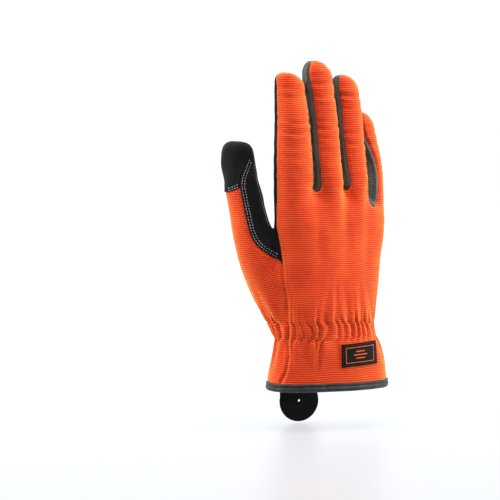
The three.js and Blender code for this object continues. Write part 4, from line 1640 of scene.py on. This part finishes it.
def make_stage(settings):
    """A white table that curves up into its backdrop, two broad side lights, one above, one in front, one on
    the backdrop, an even fill from all round, and the camera where the photograph was taken from."""
    n, width = 40, 6.0
    t = np.linspace(0, math.pi / 2, n)
    floor = settings.floor_height
    depth, bend = 1.6, 0.7
    y = np.concatenate([[-4.0], depth + bend * np.sin(t), [depth + bend]])
    z = np.concatenate([[floor], floor + bend * (1 - np.cos(t)), [3.5]])
    profile = np.stack([np.zeros(len(y)), y, z], axis=1)
    side = np.array([[-width / 2, 0, 0], [width / 2, 0, 0]])
    points = (profile[:, None] + side[None]).reshape(-1, 3) / MM
    table = add_mesh("table", points, [grid_faces(len(y), 2)])
    table.data.materials.append(finish_of("stage"))
    scene = bpy.context.scene
    world = bpy.data.worlds.new("studio")
    world.use_nodes = True
    background = world.node_tree.nodes["Background"]
    background.inputs[0].default_value = linear("#F3F6FA")
    background.inputs[1].default_value = settings.fill
    scene.world = world
    scene.view_settings.view_transform = "Standard"
    scene.view_settings.look = "None"
    aim = (0, 0, 0.11)
    right = Vector((math.cos(settings.azimuth), math.sin(settings.azimuth), 0))
    back = Vector((math.sin(settings.azimuth), -math.cos(settings.azimuth), 0))
    lift = Vector((0, 0, 0.32))
    for name, sign in (("side_left", -1), ("side_right", 1)):
        place = sign * 0.95 * right + 0.02 * back + lift
        area_light(name, place, aim, (0.6, 1.1), settings.side_power, "#FFFFFF")
    area_light("top", (0.05, -0.22, 1.2), aim, (1.0, 0.7), settings.top_power, "#FFFFFF")
    area_light("front", (0.25, -1.6, 0.55), aim, (0.7, 0.7), settings.front_power, "#FFFFFF")
    wall = (0.8, 2.3, 0.4)
    area_light("backdrop", (0.7, 0.9, 1.5), wall, (3.4, 1.0), settings.backdrop_power, "#F6F9FF")
    az, el = settings.azimuth, settings.elevation
    back = Vector((math.sin(az) * math.cos(el), -math.cos(az) * math.cos(el), math.sin(el)))
    aim = right * (PHOTO_MIDDLE[0] * PIXEL) + Vector((0, 0, 1)) * (PHOTO_MIDDLE[1] * PIXEL)
    camera = bpy.data.cameras.new("camera")
    camera.lens, camera.sensor_width = 120, 36
    camera.clip_start, camera.clip_end = 0.05, 20
    obj = bpy.data.objects.new("camera", camera)
    obj.location = aim + back * CAMERA_DISTANCE
    obj.rotation_mode = "QUATERNION"
    obj.rotation_quaternion = (-back).to_track_quat("-Z", "Y")
    scene.collection.objects.link(obj)
    scene.camera = obj


# Add-on


class GloveFinishes(bpy.types.PropertyGroup):
    """Colours and thicknesses of the glove's cloth."""

    orange: bpy.props.FloatVectorProperty(
        name="Orange",
        description="sRGB colour of the knit's ribs",
        default=(0.89, 0.24, 0.078),
        min=0,
        max=1,
        subtype="COLOR_GAMMA",
    )
    # painted shade: the darker orange of the channels between the knit's ribs
    orange_channel_shade: bpy.props.FloatVectorProperty(
        name="Deep orange",
        description="sRGB colour between the knit's ribs",
        default=(0.765, 0.128, 0.042),
        min=0,
        max=1,
        subtype="COLOR_GAMMA",
    )
    rib_pitch: bpy.props.FloatProperty(
        name="Rib pitch",
        description="Distance from rib to rib of the back's knit",
        default=0.00158,
        min=0.001,
        max=0.004,
        precision=5,
        unit="LENGTH",
    )
    knit: bpy.props.FloatProperty(
        name="Knit",
        description="Thickness of the knit",
        default=0.0012,
        min=0.0005,
        max=0.003,
        precision=4,
        unit="LENGTH",
    )
    suede: bpy.props.FloatProperty(
        name="Suede",
        description="Thickness of the suede",
        default=0.0012,
        min=0.0005,
        max=0.003,
        precision=4,
        unit="LENGTH",
    )


class GloveStage(bpy.types.PropertyGroup):
    """The table, the lights and the camera."""

    floor_height: bpy.props.FloatProperty(
        name="Table",
        description="Height of the table under the glove",
        default=-0.0296,
        min=-1,
        max=0,
        precision=4,
        unit="LENGTH",
    )
    azimuth: bpy.props.FloatProperty(
        name="Camera azimuth",
        description="Turn of the camera round the glove",
        default=math.radians(-20),
        subtype="ANGLE",
    )
    elevation: bpy.props.FloatProperty(
        name="Camera elevation",
        description="Height of the camera over the horizon",
        default=math.radians(3),
        subtype="ANGLE",
    )
    side_power: bpy.props.FloatProperty(
        name="Side lights",
        description="Power of each side light in watts",
        default=16.0,
        min=0,
    )
    top_power: bpy.props.FloatProperty(
        name="Top light",
        description="Power of the top light in watts",
        default=21.0,
        min=0,
    )
    front_power: bpy.props.FloatProperty(
        name="Front light",
        description="Power of the front light in watts",
        default=0.7,
        min=0,
    )
    backdrop_power: bpy.props.FloatProperty(
        name="Backdrop light",
        description="Power of the light on the backdrop in watts",
        default=220.0,
        min=0,
    )
    fill: bpy.props.FloatProperty(
        name="Fill",
        description="Strength of the even light from all round",
        default=0.12,
        min=0,
    )


class GLOVE_OT_back(bpy.types.Operator):
    """Make the ribbed knit back"""

    bl_idname = "glove.back"
    bl_label = "Back panel"

    def execute(self, context):
        s = context.scene.glove_finishes
        make_panel("back_panel", finish_of("knit_orange"), s.knit * 1000, "knit_orange")
        return {"FINISHED"}


class GLOVE_OT_side(bpy.types.Operator):
    """Make the knit panel of the thumb and the radial side"""

    bl_idname = "glove.side"
    bl_label = "Side panel"

    def execute(self, context):
        s = context.scene.glove_finishes
        make_panel("side_panel", finish_of("knit_orange"), s.knit * 1000, "knit_orange")
        return {"FINISHED"}


class GLOVE_OT_palm(bpy.types.Operator):
    """Make the suede palm and the thumb's suede cap"""

    bl_idname = "glove.palm"
    bl_label = "Palm and cap"

    def execute(self, context):
        s = context.scene.glove_finishes
        for name in ("palm_panel", "thumb_cap"):
            make_panel(name, finish_of("suede"), s.suede * 1000, "suede_black")
        return {"FINISHED"}


class GLOVE_OT_walls(bpy.types.Operator):
    """Make the knit walls between the fingers"""

    bl_idname = "glove.walls"
    bl_label = "Finger walls"

    def execute(self, context):
        s = context.scene.glove_finishes
        for name in SLITS:
            make_panel(name, finish_of("knit_grey"), s.knit * 1000, "knit_grey")
        return {"FINISHED"}


class GLOVE_OT_binding(bpy.types.Operator):
    """Make the folded binding of the hem"""

    bl_idname = "glove.binding"
    bl_label = "Hem binding"

    def execute(self, context):
        make_binding()
        return {"FINISHED"}


class GLOVE_OT_label(bpy.types.Operator):
    """Make the woven label"""

    bl_idname = "glove.label"
    bl_label = "Label"

    def execute(self, context):
        make_label()
        return {"FINISHED"}


class GLOVE_OT_strap(bpy.types.Operator):
    """Make the webbing strap and the suede pull tab"""

    bl_idname = "glove.strap"
    bl_label = "Strap and tab"

    def execute(self, context):
        make_strap()
        make_tab()
        return {"FINISHED"}


class GLOVE_OT_stitches(bpy.types.Operator):
    """Make the white double stitching of the thumb"""

    bl_idname = "glove.stitches"
    bl_label = "Thumb stitching"

    def execute(self, context):
        make_seam_stitches()
        return {"FINISHED"}


class GLOVE_OT_prints(bpy.types.Operator):
    """Make the printed bars on the index finger and the thumb"""

    bl_idname = "glove.prints"
    bl_label = "Grip prints"

    def execute(self, context):
        make_grip_prints()
        return {"FINISHED"}


class GLOVE_OT_stage(bpy.types.Operator):
    """Make the table, the lights and the camera"""

    bl_idname = "glove.stage"
    bl_label = "Stage"

    def execute(self, context):
        make_stage(context.scene.glove_stage)
        return {"FINISHED"}


OPERATORS = (
    GLOVE_OT_back,
    GLOVE_OT_side,
    GLOVE_OT_palm,
    GLOVE_OT_walls,
    GLOVE_OT_binding,
    GLOVE_OT_label,
    GLOVE_OT_strap,
    GLOVE_OT_stitches,
    GLOVE_OT_prints,
    GLOVE_OT_stage,
)


class GLOVE_PT_panel(bpy.types.Panel):
    """Lists the glove's pieces and its stage"""

    bl_idname = "GLOVE_PT_panel"
    bl_label = "Work glove"
    bl_space_type = "VIEW_3D"
    bl_region_type = "UI"
    bl_category = "Glove"

    def draw(self, context):
        layout = self.layout
        scene = context.scene
        for key in GloveFinishes.__annotations__:
            layout.prop(scene.glove_finishes, key)
        for key in GloveStage.__annotations__:
            layout.prop(scene.glove_stage, key)
        for operator in OPERATORS:
            layout.operator(operator.bl_idname)


CLASSES = (GloveFinishes, GloveStage, *OPERATORS, GLOVE_PT_panel)


def register():
    """Registers the classes and hangs the settings on the scene."""
    for c in CLASSES:
        bpy.utils.register_class(c)
    bpy.types.Scene.glove_finishes = bpy.props.PointerProperty(type=GloveFinishes)
    bpy.types.Scene.glove_stage = bpy.props.PointerProperty(type=GloveStage)


def unregister():
    """Takes away what register adds."""
    del bpy.types.Scene.glove_stage
    del bpy.types.Scene.glove_finishes
    for c in reversed(CLASSES):
        bpy.utils.unregister_class(c)


def main():
    """Builds the stage and every piece."""
    register()
    bpy.ops.glove.stage()
    bpy.ops.glove.back()
    bpy.ops.glove.side()
    bpy.ops.glove.palm()
    bpy.ops.glove.walls()
    bpy.ops.glove.binding()
    bpy.ops.glove.label()
    bpy.ops.glove.strap()
    bpy.ops.glove.stitches()
    bpy.ops.glove.prints()


if __name__ == "__main__":
    main()
